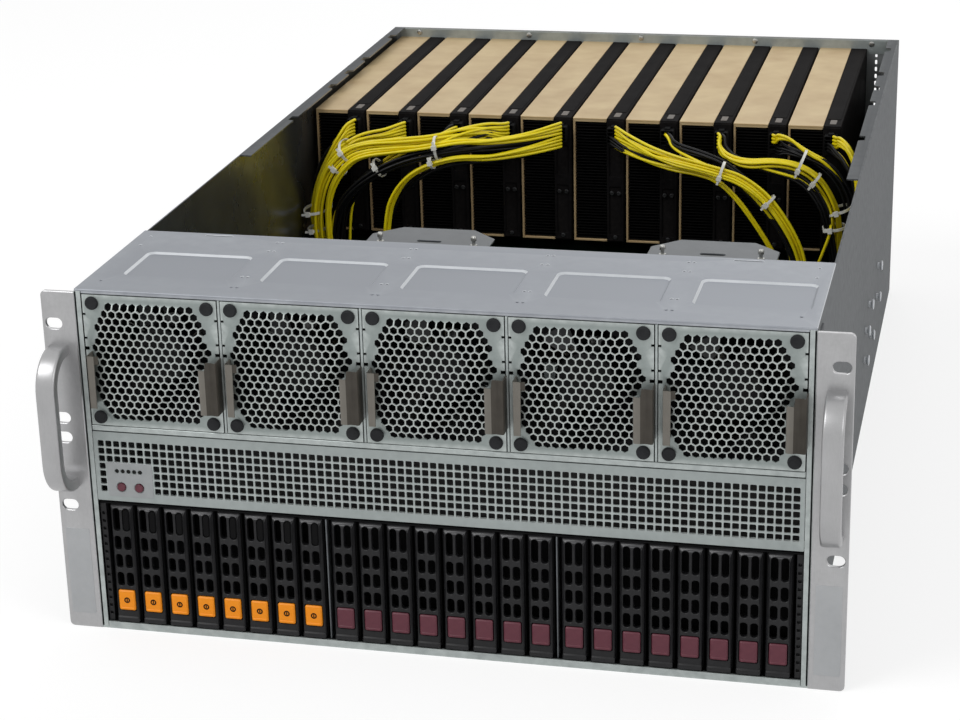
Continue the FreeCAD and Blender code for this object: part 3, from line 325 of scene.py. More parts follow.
def punched(outline, holes=(), thick=1.0, chamfer=0.0, lift=None, creases=()):
    # a sheet with holes: chamfered front edges, straight walls and a back that follows the front
    lift = lift or (lambda x, z: 0.0)
    nominal, sides, loops = cutSheet(outline, holes, creases)
    face = list(nominal)
    if chamfer:
        shrunk = [grown(outline, -chamfer)] + [grown(hole, chamfer) for hole in holes]
        for indices, loop in zip(loops, shrunk):
            for index, point in zip(indices, loop):
                face[index] = point
    count = len(nominal)
    points = [(x, lift(x, z), z) for x, z in face]
    points += [(x, lift(x, z) + chamfer, z) for x, z in nominal]
    points += [(x, lift(x, z) + thick, z) for x, z in nominal]
    faces = list(sides)
    faces += [tuple(2 * count + index for index in reversed(side)) for side in sides]
    for indices in loops:
        for k, index in enumerate(indices):
            after = indices[(k + 1) % len(indices)]
            if chamfer:
                faces.append((after, index, count + index, count + after))
            faces.append((count + after, count + index, 2 * count + index, 2 * count + after))
    return points, faces


def plate(x0, z0, x1, z1, radius, steps, thick, chamfer=0.0, lift=None):
    return punched(roundRect(x0, z0, x1, z1, radius, steps), [], thick, chamfer, lift)


def skinned(points, ring):
    # rings of points joined in a skin, with a face at both ends
    last = len(points) - ring
    faces = [tuple(range(ring)), tuple(range(last, last + ring))]
    for start in range(0, last, ring):
        for k in range(ring):
            here, after = start + k, start + (k + 1) % ring
            faces.append((here, after, after + ring, here + ring))
    return points, faces


def lathe(profile, steps=24):
    # turned about the y axis: the profile is (radius, y) from the tip to the foot
    return skinned([(x, y, z) for radius, y in profile
                    for x, z in circleLoop(0, 0, max(radius, 0.001), steps)], steps)


def swept(section, path):
    # a closed section carried along a path of (place, side, up) frames
    return skinned([tuple(place + side * a + up * b) for place, side, up in path for a, b in section],
                   len(section))


def makeMesh(name, shape, finish, smooth=35):
    mesh = bpy.data.meshes.new(name)
    mesh.from_pydata([Vector(point) * mm for point in shape[0]], [], shape[1])
    form = bmesh.new()
    form.from_mesh(mesh)
    bmesh.ops.remove_doubles(form, verts=form.verts, dist=1e-7)
    bmesh.ops.recalc_face_normals(form, faces=form.faces)
    form.to_mesh(mesh)
    form.free()
    mesh.materials.append(finishes[finish])
    mesh.shade_smooth()
    mesh.set_sharp_from_angle(angle=math.radians(smooth))
    return mesh


def paint(mesh, finish, chosen):
    # one more finish, on the faces that are chosen
    mesh.materials.append(finishes[finish])
    for face in mesh.polygons:
        if chosen(face):
            face.material_index = len(mesh.materials) - 1


def put(name, mesh, body="chassis", at=(0, 0, 0), bevel=0.0, stands=()):
    piece = bpy.data.objects.new(name, mesh)
    scene.collection.objects.link(piece)
    piece.location = Vector(at) * mm
    if bevel:
        rounding = piece.modifiers.new("edges", "BEVEL")
        rounding.width = bevel * mm
        rounding.segments = 2
        rounding.limit_method = "ANGLE"
        rounding.angle_limit = math.radians(50)
    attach(piece, body)
    if stands:
        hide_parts(*stands)
    return piece


def piece(name, shape, finish, body="chassis", at=(0, 0, 0), bevel=0.0, smooth=35, stands=()):
    return put(name, makeMesh(name, shape, finish, smooth), body, at, bevel, stands)


# Camera at the photograph's angle, a white floor that keeps the shadow, and soft lamps

view = Sizes(
    azimuth=13.495, elevation=20.235, roll=-1.425, spot=(0.318997, -1.58388, 0.652949),
    focalPixels=2330.187, imageWidth=960)
azimuth, elevation, roll = (math.radians(angle) for angle in (view.azimuth, view.elevation, view.roll))
backward = Vector((math.sin(azimuth) * math.cos(elevation), -math.cos(azimuth) * math.cos(elevation),
                   math.sin(elevation)))
level = Vector((math.cos(azimuth), math.sin(azimuth), 0))
upright = backward.cross(level)
right = math.cos(roll) * level + math.sin(roll) * upright
up = -math.sin(roll) * level + math.cos(roll) * upright
lens = bpy.data.cameras.new("photoCamera")
lens.sensor_width = 36
lens.lens = view.focalPixels * lens.sensor_width / view.imageWidth
lens.clip_start = 0.01
camera = bpy.data.objects.new("photoCamera", lens)
scene.collection.objects.link(camera)
camera.matrix_world = Matrix.Translation(view.spot) @ Matrix((right, up, backward)).transposed().to_4x4()
scene.camera = camera
scene.view_settings.view_transform = "Standard"


def lamp(name, spot, target, size, power):
    light = bpy.data.lights.new(name, "AREA")
    light.shape = "DISK"
    light.size = size
    light.energy = power
    holder = bpy.data.objects.new(name, light)
    scene.collection.objects.link(holder)
    holder.location = spot
    holder.rotation_euler = (Vector(target) - Vector(spot)).to_track_quat("-Z", "Y").to_euler()


studio = Sizes(
    skyLevel=0.5, keyPower=32, fillPower=13, backPower=12, floorDiffuse=0.35, floorGlow=0.72,
    floorBounce=0.8)
lamp("keyLamp", (-1.5, -1.6, 2.3), (0, 0, 0.1), 1.6, studio.keyPower)
lamp("fillLamp", (2.1, -1.5, 1.5), (0, -0.1, 0.1), 1.4, studio.fillPower)
lamp("backLamp", (0.3, 1.9, 2.2), (0, 0.1, 0.1), 1.6, studio.backPower)


def seenRays(tree):
    # 1 for what the camera sees, also by way of metal or glass, and 0 for what lights the object
    rays = addNode(tree, "ShaderNodeLightPath")
    direct = mathNode(tree, "MAXIMUM", rays["Is Camera Ray"], rays["Is Transmission Ray"])
    return mathNode(tree, "MAXIMUM", direct, rays["Is Glossy Ray"])


world = bpy.data.worlds.new("studioSky")
scene.world = world
world.use_nodes = True
sky = world.node_tree
background = sky.nodes["Background"].inputs
background["Color"].default_value = (1, 1, 1, 1)
skyLight = addNode(sky, "ShaderNodeMapRange", {"Value": seenRays(sky), "To Min": studio.skyLevel})[0]
sky.links.new(skyLight, background["Strength"])

floorPaint = bpy.data.materials.new("paleFloor")
floorPaint.use_nodes = True
tree = floorPaint.node_tree
tree.nodes.remove(tree.nodes["Principled BSDF"])
seenPaint, litPaint = (addNode(tree, "ShaderNodeBsdfDiffuse", {"Color": (shade, shade, shade, 1)})[0]
                       for shade in (studio.floorDiffuse, studio.floorBounce))
glow = addNode(tree, "ShaderNodeEmission", {"Strength": studio.floorGlow})[0]
both = addNode(tree, "ShaderNodeAddShader", {0: seenPaint, 1: glow})[0]
chosen = addNode(tree, "ShaderNodeMixShader", {0: seenRays(tree), 1: litPaint, 2: both})[0]
tree.links.new(chosen, tree.nodes["Material Output"].inputs["Surface"])
floorMesh = bpy.data.meshes.new("floor")
floorMesh.from_pydata([(-9, -9, 0), (9, -9, 0), (9, 9, 0), (-9, 9, 0)], [], [(0, 1, 2, 3)])
floorMesh.materials.append(floorPaint)
floor = bpy.data.objects.new("floor", floorMesh)
scene.collection.objects.link(floor)
print("camera, lamps and floor in place")


# Power cables: loose wires from each card's plug to the board, gathered by ties

harness = Sizes(
    firstPlug=-180.05, pitch=40.64, plugEnd=95.3, plugHeight=202.0, rowPitch=2.6, wireRadius=1.15,
    tieWidth=2.0, tieThick=0.7, tieSteps=28, turn=2.4, turnSway=0.5, drift=0.25, spread=1.3,
    looseness=(0.85, 1.3), gatherStops=3, latch=1.2, latchAside=0.3,
    tieHead=((-1.8, -1.3, -1.6), (1.8, 1.3, 1.6)), tieTail=((-0.8, -0.8, -1.2), (0.8, 0.0, -4.8)))
yellow, black = "yellowWire", "blackWire"
# each strand: card, wires, finish, column in the plug, height in the plug, and its places on the way
strands = [
    (0, 5, yellow, 1, 0, [(-186, 88, 197), (-195, 84, 182), (-202, 82, 165), (-208, 81, 148),
        (-209, 81, 130), (-206, 82, 112)]),
    (0, 3, black, -3, -2, [(-188, 90, 194), (-200, 88, 184), (-210, 86, 164), (-211, 85, 136),
        (-210, 84, 112)]),
    (0, 1, yellow, 2, 6, [(-192, 89, 194), (-206, 88, 176), (-212, 88, 150), (-213, 87, 130),
        (-212, 86, 112)]),
    (1, 5, yellow, 1, 0, [(-152, 86, 199), (-165, 78, 199), (-176, 75, 195), (-190, 74, 183),
        (-201, 74, 163), (-204, 74, 137), (-201, 74, 112)]),
    (1, 3, black, -3, 0, [(-152, 89, 196), (-167, 84, 194), (-184, 80, 183), (-198, 78, 160),
        (-203, 77, 112)]),
    (2, 6, black, -2, -2, [(-106, 84, 198), (-122, 72, 195), (-141, 66, 187), (-158, 64, 175),
        (-176, 63, 157), (-185, 64, 138), (-186, 65, 112)]),
    (2, 1, yellow, 1, 3, [(-106, 82, 203), (-122, 66, 200), (-142, 62, 191), (-159, 64, 177),
        (-172, 66, 160), (-178, 66, 138), (-179, 66, 112)]),
    (2, 1, yellow, 1, 0, [(-106, 82, 200), (-122, 66, 197), (-142, 61, 188), (-160, 60, 174),
        (-179, 58, 157), (-190, 57, 138), (-192, 58, 112)]),
    (3, 7, yellow, 1, 0, [(-71, 84, 206), (-90, 69, 207), (-106, 60, 204), (-132, 56, 201), (-159, 55, 199),
        (-175, 55, 193), (-191, 55, 176), (-199, 56, 152), (-200, 57, 130), (-198, 57, 112)]),
    (3, 5, black, -3, -3, [(-72, 82, 199), (-88, 67, 198), (-104, 59, 195), (-125, 55, 190),
        (-145, 54, 182), (-163, 54, 170), (-177, 56, 156), (-184, 58, 140), (-187, 60, 112)]),
    (4, 4, yellow, 1, 5.2, [(-39, 79, 204), (-66, 64, 203), (-86, 58, 204), (-105, 55, 201),
        (-132, 53, 196), (-159, 52, 193), (-173, 52, 186), (-187, 52, 167), (-193, 54, 141),
        (-191, 55, 112)]),
    (4, 3, black, -3, 0, [(-38, 84, 197), (-60, 70, 197), (-83, 62, 196), (-103, 57, 193), (-125, 54, 188),
        (-145, 53, 180), (-163, 53, 168), (-177, 54, 154), (-184, 57, 138), (-188, 60, 112)]),
    (4, 4, yellow, 1, -5.2, [(-39, 79, 193), (-66, 62, 191), (-87, 56, 192), (-107, 54, 187),
        (-126, 54, 177), (-138, 54, 162), (-144, 55, 145), (-147, 56, 112)]),
    (4, 2, black, -3, -6, [(-38, 84, 189), (-66, 68, 187), (-90, 61, 187), (-112, 59, 180), (-134, 59, 162),
        (-146, 59, 138), (-150, 59, 112)]),
    (5, 6, yellow, 2, 1, [(36, 85, 201), (54, 71, 197), (74, 61, 194), (91, 57, 192), (109, 54, 189),
        (125, 54, 184), (144, 54, 170), (161, 54, 147), (170, 56, 125), (171, 56, 112)]),
    (5, 2, yellow, 2, -7, [(36, 84, 193), (54, 71, 190), (74, 62, 188), (91, 58, 187), (107, 56, 183),
        (122, 57, 169), (136, 58, 149), (150, 60, 126), (155, 62, 112)]),
    (5, 3, black, -2, -3, [(34, 86, 194), (60, 73, 190), (90, 67, 188), (115, 65, 182), (135, 64, 168),
        (160, 60, 138), (169, 57, 112)]),
    (6, 1, yellow, -1, 3, [(70, 82, 198), (88, 66, 194), (110, 60, 187), (130, 59, 173), (148, 60, 152),
        (160, 62, 130), (163, 63, 112)]),
    (6, 4, black, 1, 0, [(72, 80, 199), (95, 70, 197), (115, 66, 190), (140, 65, 169), (158, 66, 145),
        (161, 67, 112)]),
    (7, 5, yellow, -2, 0, [(104, 86, 199), (111, 78, 194), (126, 74, 191), (147, 72, 194), (165, 72, 191),
        (180, 72, 182), (191, 73, 164), (195, 75, 146), (195, 75, 112)]),
    (7, 6, black, 1, -2, [(108, 88, 194), (120, 81, 188), (146, 77, 187), (166, 73, 182), (179, 69, 171),
        (189, 66, 152), (195, 67, 112)]),
    (7, 1, yellow, 0, -4, [(110, 80, 194), (140, 73, 187), (172, 70, 180), (189, 67, 162), (190, 63, 147),
        (186, 62, 134), (178, 62, 112)]),
    (8, 3, yellow, -2, 3, [(148, 87, 209), (158, 83, 208), (169, 80, 200), (186, 80, 192), (199, 83, 174),
        (205, 86, 150), (206, 87, 112)]),
    (8, 6, black, 1, -2, [(152, 90, 200), (167, 84, 196), (185, 80, 189), (197, 78, 176), (204, 77, 157),
        (206, 78, 112)]),
    (9, 4, yellow, 2, 2, [(193, 81, 208), (201, 72, 204), (207, 67, 191), (209, 64, 166), (208, 65, 112)]),
    (9, 1, yellow, 0, -4, [(191, 82, 200), (198, 75, 195), (205, 70, 181), (208, 68, 160), (208, 67, 112)]),
    (9, 3, black, -2, -2, [(190, 82, 199), (197, 74, 196), (205, 70, 184), (209, 69, 164), (209, 69, 112)]),
]


def routeLine(route):
    curve = bpy.data.curves.new("route", "CURVE")
    curve.dimensions = "3D"
    curve.resolution_u = 6
    spline = curve.splines.new("NURBS")
    spline.points.add(len(route) - 1)
    for point, spot in zip(spline.points, route):
        point.co = (*spot, 1)
    spline.order_u = 3
    spline.use_endpoint_u = True
    holder = bpy.data.objects.new("route", curve)
    line = bpy.data.meshes.new_from_object(holder)
    places = [vertex.co.copy() for vertex in line.vertices]
    bpy.data.objects.remove(holder)
    bpy.data.curves.remove(curve)
    bpy.data.meshes.remove(line)
    return places


def wireTube(line, radius):
    side = Vector((1, 0, 0))
    frames = []
    for k, spot in enumerate(line):
        ahead = (line[min(k + 1, len(line) - 1)] - line[max(k - 1, 0)]).normalized()
        side = (side - ahead * side.dot(ahead)).normalized()
        frames.append((spot, side, ahead.cross(side)))
    return swept(circleLoop(0, 0, radius, 7), frames)


def layStrand(plug, wires, column, rise, places):
    plugX = harness.firstPlug + plug * harness.pitch + column
    stops = [Vector(place) for place in places]
    tubes = []
    for wire in range(wires):
        offset = (wire - (wires - 1) / 2) * harness.rowPitch
        row = Vector((0, 0, offset))
        start = Vector((plugX, harness.plugEnd, harness.plugHeight + rise + offset))
        route = [start, start + Vector((math.copysign(3, stops[0].x - plugX), -5, 0))]
        angle = harness.turn * wire + shuffle.uniform(-harness.turnSway, harness.turnSway)
        reach = harness.spread * harness.wireRadius * math.sqrt(wire + 0.3)
        for k, stop in enumerate(stops):
            ahead = (stops[min(k + 1, len(stops) - 1)] - stops[max(k - 1, 0)]).normalized()
            across = ahead.cross(Vector((0, 1, 0))).normalized()
            angle += shuffle.uniform(-harness.drift, harness.drift)
            loose = reach * shuffle.uniform(*harness.looseness)
            bunched = across * loose * math.cos(angle) + Vector((0, loose * math.sin(angle), 0))
            route.append(stop + row.lerp(bunched, min(1.0, (k + 1) / harness.gatherStops)))
        tubes.append(wireTube(routeLine(route), harness.wireRadius))
    return tubes


wireTubes = {yellow: [], black: []}
for plug, wires, finish, column, rise, places in strands:
    wireTubes[finish] += layStrand(plug, wires, column, rise, places)
piece("yellowWires", joined(wireTubes[yellow]), yellow, smooth=80, stands=["power_cables"])
piece("blackWires", joined(wireTubes[black]), black, smooth=80)

# each tie: its middle, the way the wires run, its reach across them and in depth
tieSpots = [
    ((-176, 67, 191), (-1, -0.7), 9, 16), ((-182, 60, 179), (-1, -1.2), 6, 9),
    ((-150, 59, 181), (-1, -0.6), 7, 8), ((-104, 58, 198), (-1, -0.15), 9, 8),
    ((-107, 53, 188), (-1, -0.3), 4, 5), ((-203, 69, 144), (0.1, -1), 10, 17),
    ((-203, 66, 129), (0.1, -1), 7, 10), ((110, 57, 188), (1, -0.3), 8, 7),
    ((145, 55, 168), (1, -1), 6, 5), ((166, 76, 192), (1, -0.4), 10, 12),
    ((177, 71, 181), (1, -0.8), 6, 6), ((196, 74, 159), (0.3, -1), 8, 10),
    ((192, 71, 146), (0.1, -1), 8, 9),
]


def cableTie(middle, way, across, deep):
    ahead = Vector((way[0], 0, way[1])).normalized()
    side, inward = ahead.cross(Vector((0, 1, 0))), Vector((0, 1, 0))
    middle = Vector(middle)
    frames = []
    for k in range(harness.tieSteps + 1):
        turn = 2 * math.pi * k / harness.tieSteps
        out = side * math.cos(turn) + inward * math.sin(turn)
        frames.append((middle + side * across * math.cos(turn) + inward * deep * math.sin(turn), ahead, out))
    half, thick = harness.tieWidth / 2, harness.tieThick
    band = swept([(-half, 0), (half, 0), (half, thick), (-half, thick)], frames)
    latch = middle - inward * (deep + harness.latch) - side * across * harness.latchAside
    ends = [mapped(block(*box), lambda a, b, c: tuple(latch + ahead * a + inward * b + side * c))
            for box in (harness.tieHead, harness.tieTail)]
    return joined([band] + ends)


piece("cableTies", joined([cableTie(*spot) for spot in tieSpots]), "nylonTie")
print("wires laid:", sum(len(tubes) for tubes in wireTubes.values()))


# Fan modules: embossed honeycomb face, rubber pins, spring clips, moulded frame and bladed rotor

fan = Sizes(
    front=-368.5, centre=177.8, pitch=86.0, half=41.7, height=82.6, sheet=1.0, cell=5.0, hole=4.25,
    rows=(11, 12, 13, 14, 13, 14, 15, 14, 13, 12, 13, 12, 13, 12, 13, 12, 11), emboss=3.2, slope=6.0,
    pinX=35.7, pinZ=36.1, leftRows=range(8, 14), webReach=3.3,
    notches=((7.5, 2.4, 1.1), (14, 1.6, 0.7), (29, 1.6, 0.7)), frame=80.0, frameDepth=60.0, bore=38.0,
    blades=7, chordSteps=6, spanSteps=6, bladeRoot=17.4, bladeTip=37.1, rootChord=19, tipChord=28,
    bladeHalf=0.7, bladeMiddle=27, camber=1.8, sweep=0.67, lean=0.74, taper=3.2, clipFoot=-27.0,
    clipTop=6.0, clipSheet=0.7, clipDull=35.6)
rightField = [(28.4, -38.2), (34.4, -27), (34.4, 1.0), (38.9, 5.5), (38.9, 11), (36.4, 15), (36.4, 24.5),
              (28.4, 38.2)]
field = [(-28.4, 38.2), (-36.4, 24.5), (-38.9, 11), (-38.9, -26.5), (-28.4, -38.2)] + rightField


def embossed(x, z):
    inside = math.inf
    for k, (ax, az) in enumerate(field):
        bx, bz = field[(k + 1) % len(field)]
        length = math.hypot(bx - ax, bz - az)
        inside = min(inside, ((bx - ax) * (z - az) - (bz - az) * (x - ax)) / length)
    share = max(0.0, min(1.0, inside / fan.slope))
    return -fan.emboss * share * share * (3 - 2 * share)


rowStep = fan.cell * math.sqrt(3) / 2
cellSpots = [Vector(((k - (count - 1) / 2) * fan.cell, (len(fan.rows) // 2 - row) * rowStep))
             for row, count in enumerate(fan.rows) for k in range(-1 if row in fan.leftRows else 0, count)]


def fanFace():
    holes = [hexLoop(spot.x, spot.y, fan.hole) for spot in cellSpots]
    half, tall = fan.half, fan.height / 2
    side = [(half, -tall)]
    for z, deep, size in fan.notches:
        side += [(half, z - size), (half - deep, z - size), (half - deep, z + size), (half, z + size)]
    side.append((half, tall))
    outline = side + [(-x, z) for x, z in reversed(side)]
    return punched(outline, holes, fan.sheet, 0, embossed, [field])


def fanPins():
    pin = lathe([(0, -1.5), (2.6, -1.5), (3.3, -1.7), (3.9, -1.3), (4.15, -0.5), (4.15, 0.0)], 20)
    return repeated(pin, [(x * fan.pinX, 0, z * fan.pinZ) for x in (-1, 1) for z in (-1, 1)])


# spring clips: the fold's line in x and y, where its inner strip starts, and that strip's foot and top
farClip = ([(42.7, 0), (42.7, -9.0), (42.4, -9.7), (41.7, -10), (39.7, -9.6), (37.7, -9.4), (36.2, -9.7),
            (35.5, -10), (32.6, -10), (31.6, -9.6), (31.2, -8.6)], 7, -27.0, 1.0)
nearClip = ([(37.9, 0), (37.9, -9.0), (37.6, -9.7), (36.9, -10), (35.7, -9.7), (34.4, -9.8), (33.6, -10),
             (33.2, -10), (31.4, -9.8), (30.6, -9.3)], 7, 1.0, 6.0)


def fanClip(profile, innerStart, stripFoot, stripTop):
    points, last = [], len(profile) - 1
    for k, (x, y) in enumerate(profile):
        ahead = (Vector(profile[min(k + 1, last)]) - Vector(profile[max(k - 1, 0)])).normalized()
        inX, inY = x + ahead.y * fan.clipSheet, y - ahead.x * fan.clipSheet
        low, high = (stripFoot, stripTop) if k >= innerStart else (fan.clipFoot, fan.clipTop)
        points += [(x, y, low), (x, y, high), (inX, inY, high), (inX, inY, low)]
    return skinned(points, 4)


def fanFrame():
    half, back = fan.frame / 2, fan.sheet + fan.frameDepth
    shell = moved(punched(roundRect(-half, -half, half, half, 4), [circleLoop(0, 0, fan.bore, 48)],
                          fan.frameDepth, 0.6), 0, fan.sheet)
    motor = moved(lathe([(14.5, -6), (17, -5.2), (17, -0.6), (16.4, 0)], 32), 0, back)
    arms = [moved(plate(-39, -2.2, 39, 2.2, 1, 4, 3.0), 0, back - 6)]
    arms.append(mapped(arms[0], lambda x, y, z: (-z, y, x)))
    shaft = lathe([(2.5, back - 40), (2.5, back - 6)], 16)
    plug = block((-12, back, -half), (12, 73.7, -half + 10))
    return joined([shell, motor, shaft, plug] + arms)


def fanRotor():
    hub = lathe([(0, 12), (15.6, 12), (17.4, 12.7), (18, 14.2), (18, 41.4), (17.4, 42)], 40)
    blades, row = [], fan.chordSteps + 1
    layer = row * (fan.spanSteps + 1)
    for number in range(fan.blades):
        points, faces = [], []
        for skin in (-fan.bladeHalf, fan.bladeHalf):
            for i in range(fan.spanSteps + 1):
                radius = fan.bladeRoot + (fan.bladeTip - fan.bladeRoot) * i / fan.spanSteps
                chord = fan.rootChord + (fan.tipChord - fan.rootChord) * i / fan.spanSteps
                for j in range(row):
                    share = j / fan.chordSteps - 0.5
                    camber = fan.camber * (1 - 4 * share * share)
                    turn = 2 * math.pi * number / fan.blades + (chord * share * fan.sweep - camber) / radius
                    thick = skin * (1 - fan.taper * share * share)
                    y = fan.bladeMiddle + chord * share * fan.lean + camber + thick
                    points.append((radius * math.cos(turn), y, radius * math.sin(turn)))
        for start in range(0, layer - row, row):
            for a in range(start, start + row - 1):
                faces += [(b, b + 1, b + row + 1, b + row) for b in (a, a + layer)]
        lastRow = layer - row
        rim = [*range(0, lastRow, row), *range(lastRow, layer), *range(lastRow - 1, row - 1, -row),
               *range(row - 1, 0, -1)]
        for a, b in zip(rim, rim[1:] + rim[:1]):
            faces.append((a, b, b + layer, a + layer))
        blades.append((points, faces))
    return joined([hub] + blades)


# the webs between honeycomb holes, which get the painted highlight
def isHighlightedWeb(face):
    spot = Vector((face.center.x, face.center.z)) / mm
    return sum((spot - cell).length < fan.webReach for cell in cellSpots) > 1


# the clip strips painted as lit: the far clip's inner strip and the near clip's lower half
def isLitClipStrip(face):
    x, z = face.center.x, face.center.z
    return 0 < x < fan.clipDull * mm or x < 0 and z < 0


clips = joined([fanClip(*farClip), flipped(fanClip(*nearClip))])
faceMesh = makeMesh("fanFace", fanFace(), "fanZinc", 25)
paint(faceMesh, "webZincHighlight", isHighlightedWeb)
pinMesh = makeMesh("fanPins", fanPins(), "rubberPin", 50)
# clips: painted shade overall, with painted light on the lit strips
clipMesh = makeMesh("fanClips", clips, "clipPaintedShade", 40)
paint(clipMesh, "clipPaintedLight", isLitClipStrip)
frameMesh = makeMesh("fanFrame", fanFrame(), "blackPartsAndPaintedShade")
rotorMesh = makeMesh("fanRotor", fanRotor(), "bladePlastic", 50)
for k in range(5):
    at = ((k - 2) * fan.pitch, fan.front, fan.centre)
    module, rotor = f"fan_{k + 1}_module", f"fan_{k + 1}_rotor"
    put(f"fanFace{k + 1}", faceMesh, module, at, stands=[module])
    for mesh in (pinMesh, clipMesh, frameMesh):
        put(f"{mesh.name}{k + 1}", mesh, module, at)
    put(f"fanRotor{k + 1}", rotorMesh, rotor, at, stands=[rotor])
print("fans built")


# Front grille with rounded square holes, the control corner and the shelf's front strip

grille = Sizes(
    half=214.2, low=87.0, high=132.0, front=-368.5, sheet=1.2, fold=12.0, columns=86, rows=7, pitch=4.93,
    hole=3.95, middle=109.6, controlColumns=range(1, 7), controlRows=range(0, 4),
    lampX=(-200.5, -196.8, -193.1, -189.4, -185.7), lampZ=106.8, buttonX=(-198.2, -186.8), buttonZ=96.5,
    controlBox=(-207.0, 90.2, -177.8, 112.6))


def controlHoles(button, lamp):
    return ([circleLoop(x, grille.buttonZ, button, 20) for x in grille.buttonX]
            + [circleLoop(x, grille.lampZ, lamp, 12) for x in grille.lampX])


def grilleFace():
    holes = []
    size = grille.hole / 2
    for i in range(grille.columns):
        for j in range(grille.rows):
            if i in grille.controlColumns and j in grille.controlRows:
                continue
            x = (i - (grille.columns - 1) / 2) * grille.pitch
            z = grille.middle + (j - (grille.rows - 1) / 2) * grille.pitch
            holes.append(roundRect(x - size, z - size, x + size, z + size, 0.7, 2))
    holes += controlHoles(3.0, 1.35)
    face = punched(roundRect(-grille.half, grille.low, grille.half, grille.high, 0.6, 2), holes, grille.sheet)
    folds = [block((-grille.half, grille.sheet, low), (grille.half, grille.fold, low + grille.sheet))
             for low in (grille.low, grille.high - grille.sheet)]
    return joined([face] + folds)


piece("frontGrille", grilleFace(), "zincSteel", at=(0, grille.front, 0), stands=["front_grille"])
lampDome = lathe([(0, -0.5), (0.85, -0.4), (1.3, 0.1), (1.3, 1.2)], 12)
piece("indicatorLamps", repeated(lampDome, [(x, 0, grille.lampZ) for x in grille.lampX]), "lampLens",
      at=(0, grille.front, 0))
controlPlate = punched(roundRect(*grille.controlBox, 1.2), controlHoles(3.2, 1.6), 0.35, 0.12)
piece("controlPlate", controlPlate, "railSteel", at=(0, grille.front - 0.3, 0))
buttonCap = lathe([(0, -1.0), (1.6, -1.1), (2.3, -1.2), (2.65, -0.8), (2.7, -0.2), (2.7, 5.8)], 24)
for name, x in zip(("power_button", "reset_button"), grille.buttonX):
    piece(name + "_cap", buttonCap, "maroonPlastic", body=name, at=(x, grille.front, grille.buttonZ),
          stands=[name])
edgeStrip = plate(-0.8, 136.2, 0.8, 219.4, 0.3, 2, 1.2, 0.3)
stripSpots = [((k - 1.5) * fan.pitch, fan.front + 0.2) for k in range(4)]
piece("cageEdges", repeated(edgeStrip, stripSpots), "zincSteel")
shelfStrip = plate(-grille.half, 132.5, grille.half, 135.9, 0.4, 2, 1.1, 0.3)
piece("shelfStrip", shelfStrip, "zincSteel", at=(0, fan.front + 0.1, 0))
print("grille and controls built")


# Drive trays: vented bezel with a rounded crown, coloured release button, rails and the drive behind

tray = Sizes(
    front=-366.9, foot=5.0, pitch=17.2, group=140.6, faceHalf=7.1, height=78.6, crown=6.0, slotHalf=2.25,
    slotX=3.05, release=(-5.2, 8.4, 5.2, 21.8), amber=8, proud=1.6,
    vents=((24.6, 33.8), (36.8, 46.0), (49.0, 58.2), (61.6, 76.2)), half=7.8, crownShare=0.92,
    crownBow=0.012)


def crowned(x, z):
    over = max(0.0, z - (tray.height - tray.crown))
    fall = math.sqrt(max(0.0, tray.crown ** 2 - over * over * tray.crownShare))
    return tray.crown - fall + tray.crownBow * x * x


def trayBezel():
    left, foot, edge, top = tray.release
    holes = [roundRect(left - 0.4, foot - 0.4, edge + 0.4, top + 0.4, 1.0, 3)]
    for low, high in tray.vents:
        for side in (-1, 1):
            x = side * tray.slotX
            holes.append(roundRect(x - tray.slotHalf, low, x + tray.slotHalf, high, 1.9, 4))
    outline = roundRect(-tray.faceHalf, 0, tray.faceHalf, tray.height, 1.2, 3)
    crownLine = [(-6.2, 76.8), (6.2, 76.8), (6.2, 77.6), (-6.2, 77.6)]
    face = punched(outline, holes, 2.2 + tray.proud, 0.35, crowned, [crownLine])
    lip = plate(-7.1, 0.2, 7.1, 4.0, 1.0, 3, 3.0, 0.8)
    return moved(joined([face, moved(lip, 0, -0.5)]), 0, -tray.proud)


def trayBody():
    half = tray.half
    parts = [block((-half, 2.6, 0), (half, 14, 1.4)), block((-half, 3.2, 77.0), (half, 14, 78.4))]
    parts += [block((x - 0.5, 2.6, 0), (x + 0.5, 14, 78.4)) for x in (-7.3, 7.3)]
    parts.append(block((-7, 9, 1.4), (7, 14, 77)))
    for low in (0, 74.6):
        slots = [roundRect(20 + 18 * k, low + 1.2, 32 + 18 * k, low + 2.8, 0.7, 2) for k in range(5)]
        parts.append(onSide(punched(roundRect(14, low, 112, low + 4, 0.8, 2), slots, 2 * half), half))
    return joined(parts)


def driveUnit():
    case = onSide(plate(14.4, 4.2, 109, 74.4, 1.6, 3, 14.0, 0.5), 7.0)
    seams = [onSide(plate(20, 9, 100, 69, 2, 3, 0.3, 0.2), x) for x in (7.25, -6.95)]
    return joined([case] + seams)


def releaseButton():
    left, foot, edge, top = tray.release
    cap = plate(left, foot, edge, top, 1.0, 4, 7.5, 0.7, lambda x, z: 0.004 * (z - 15) ** 2 - 0.2)
    ridge = plate(left + 0.6, foot + 0.5, edge - 0.6, foot + 2.2, 0.6, 3, 1.4, 0.35)
    return moved(joined([moved(cap, 0, -0.6), moved(ridge, 0, -0.9)]), 0, -tray.proud)


bezelMesh = makeMesh("trayBezel", trayBezel(), "trayPlastic", 30)
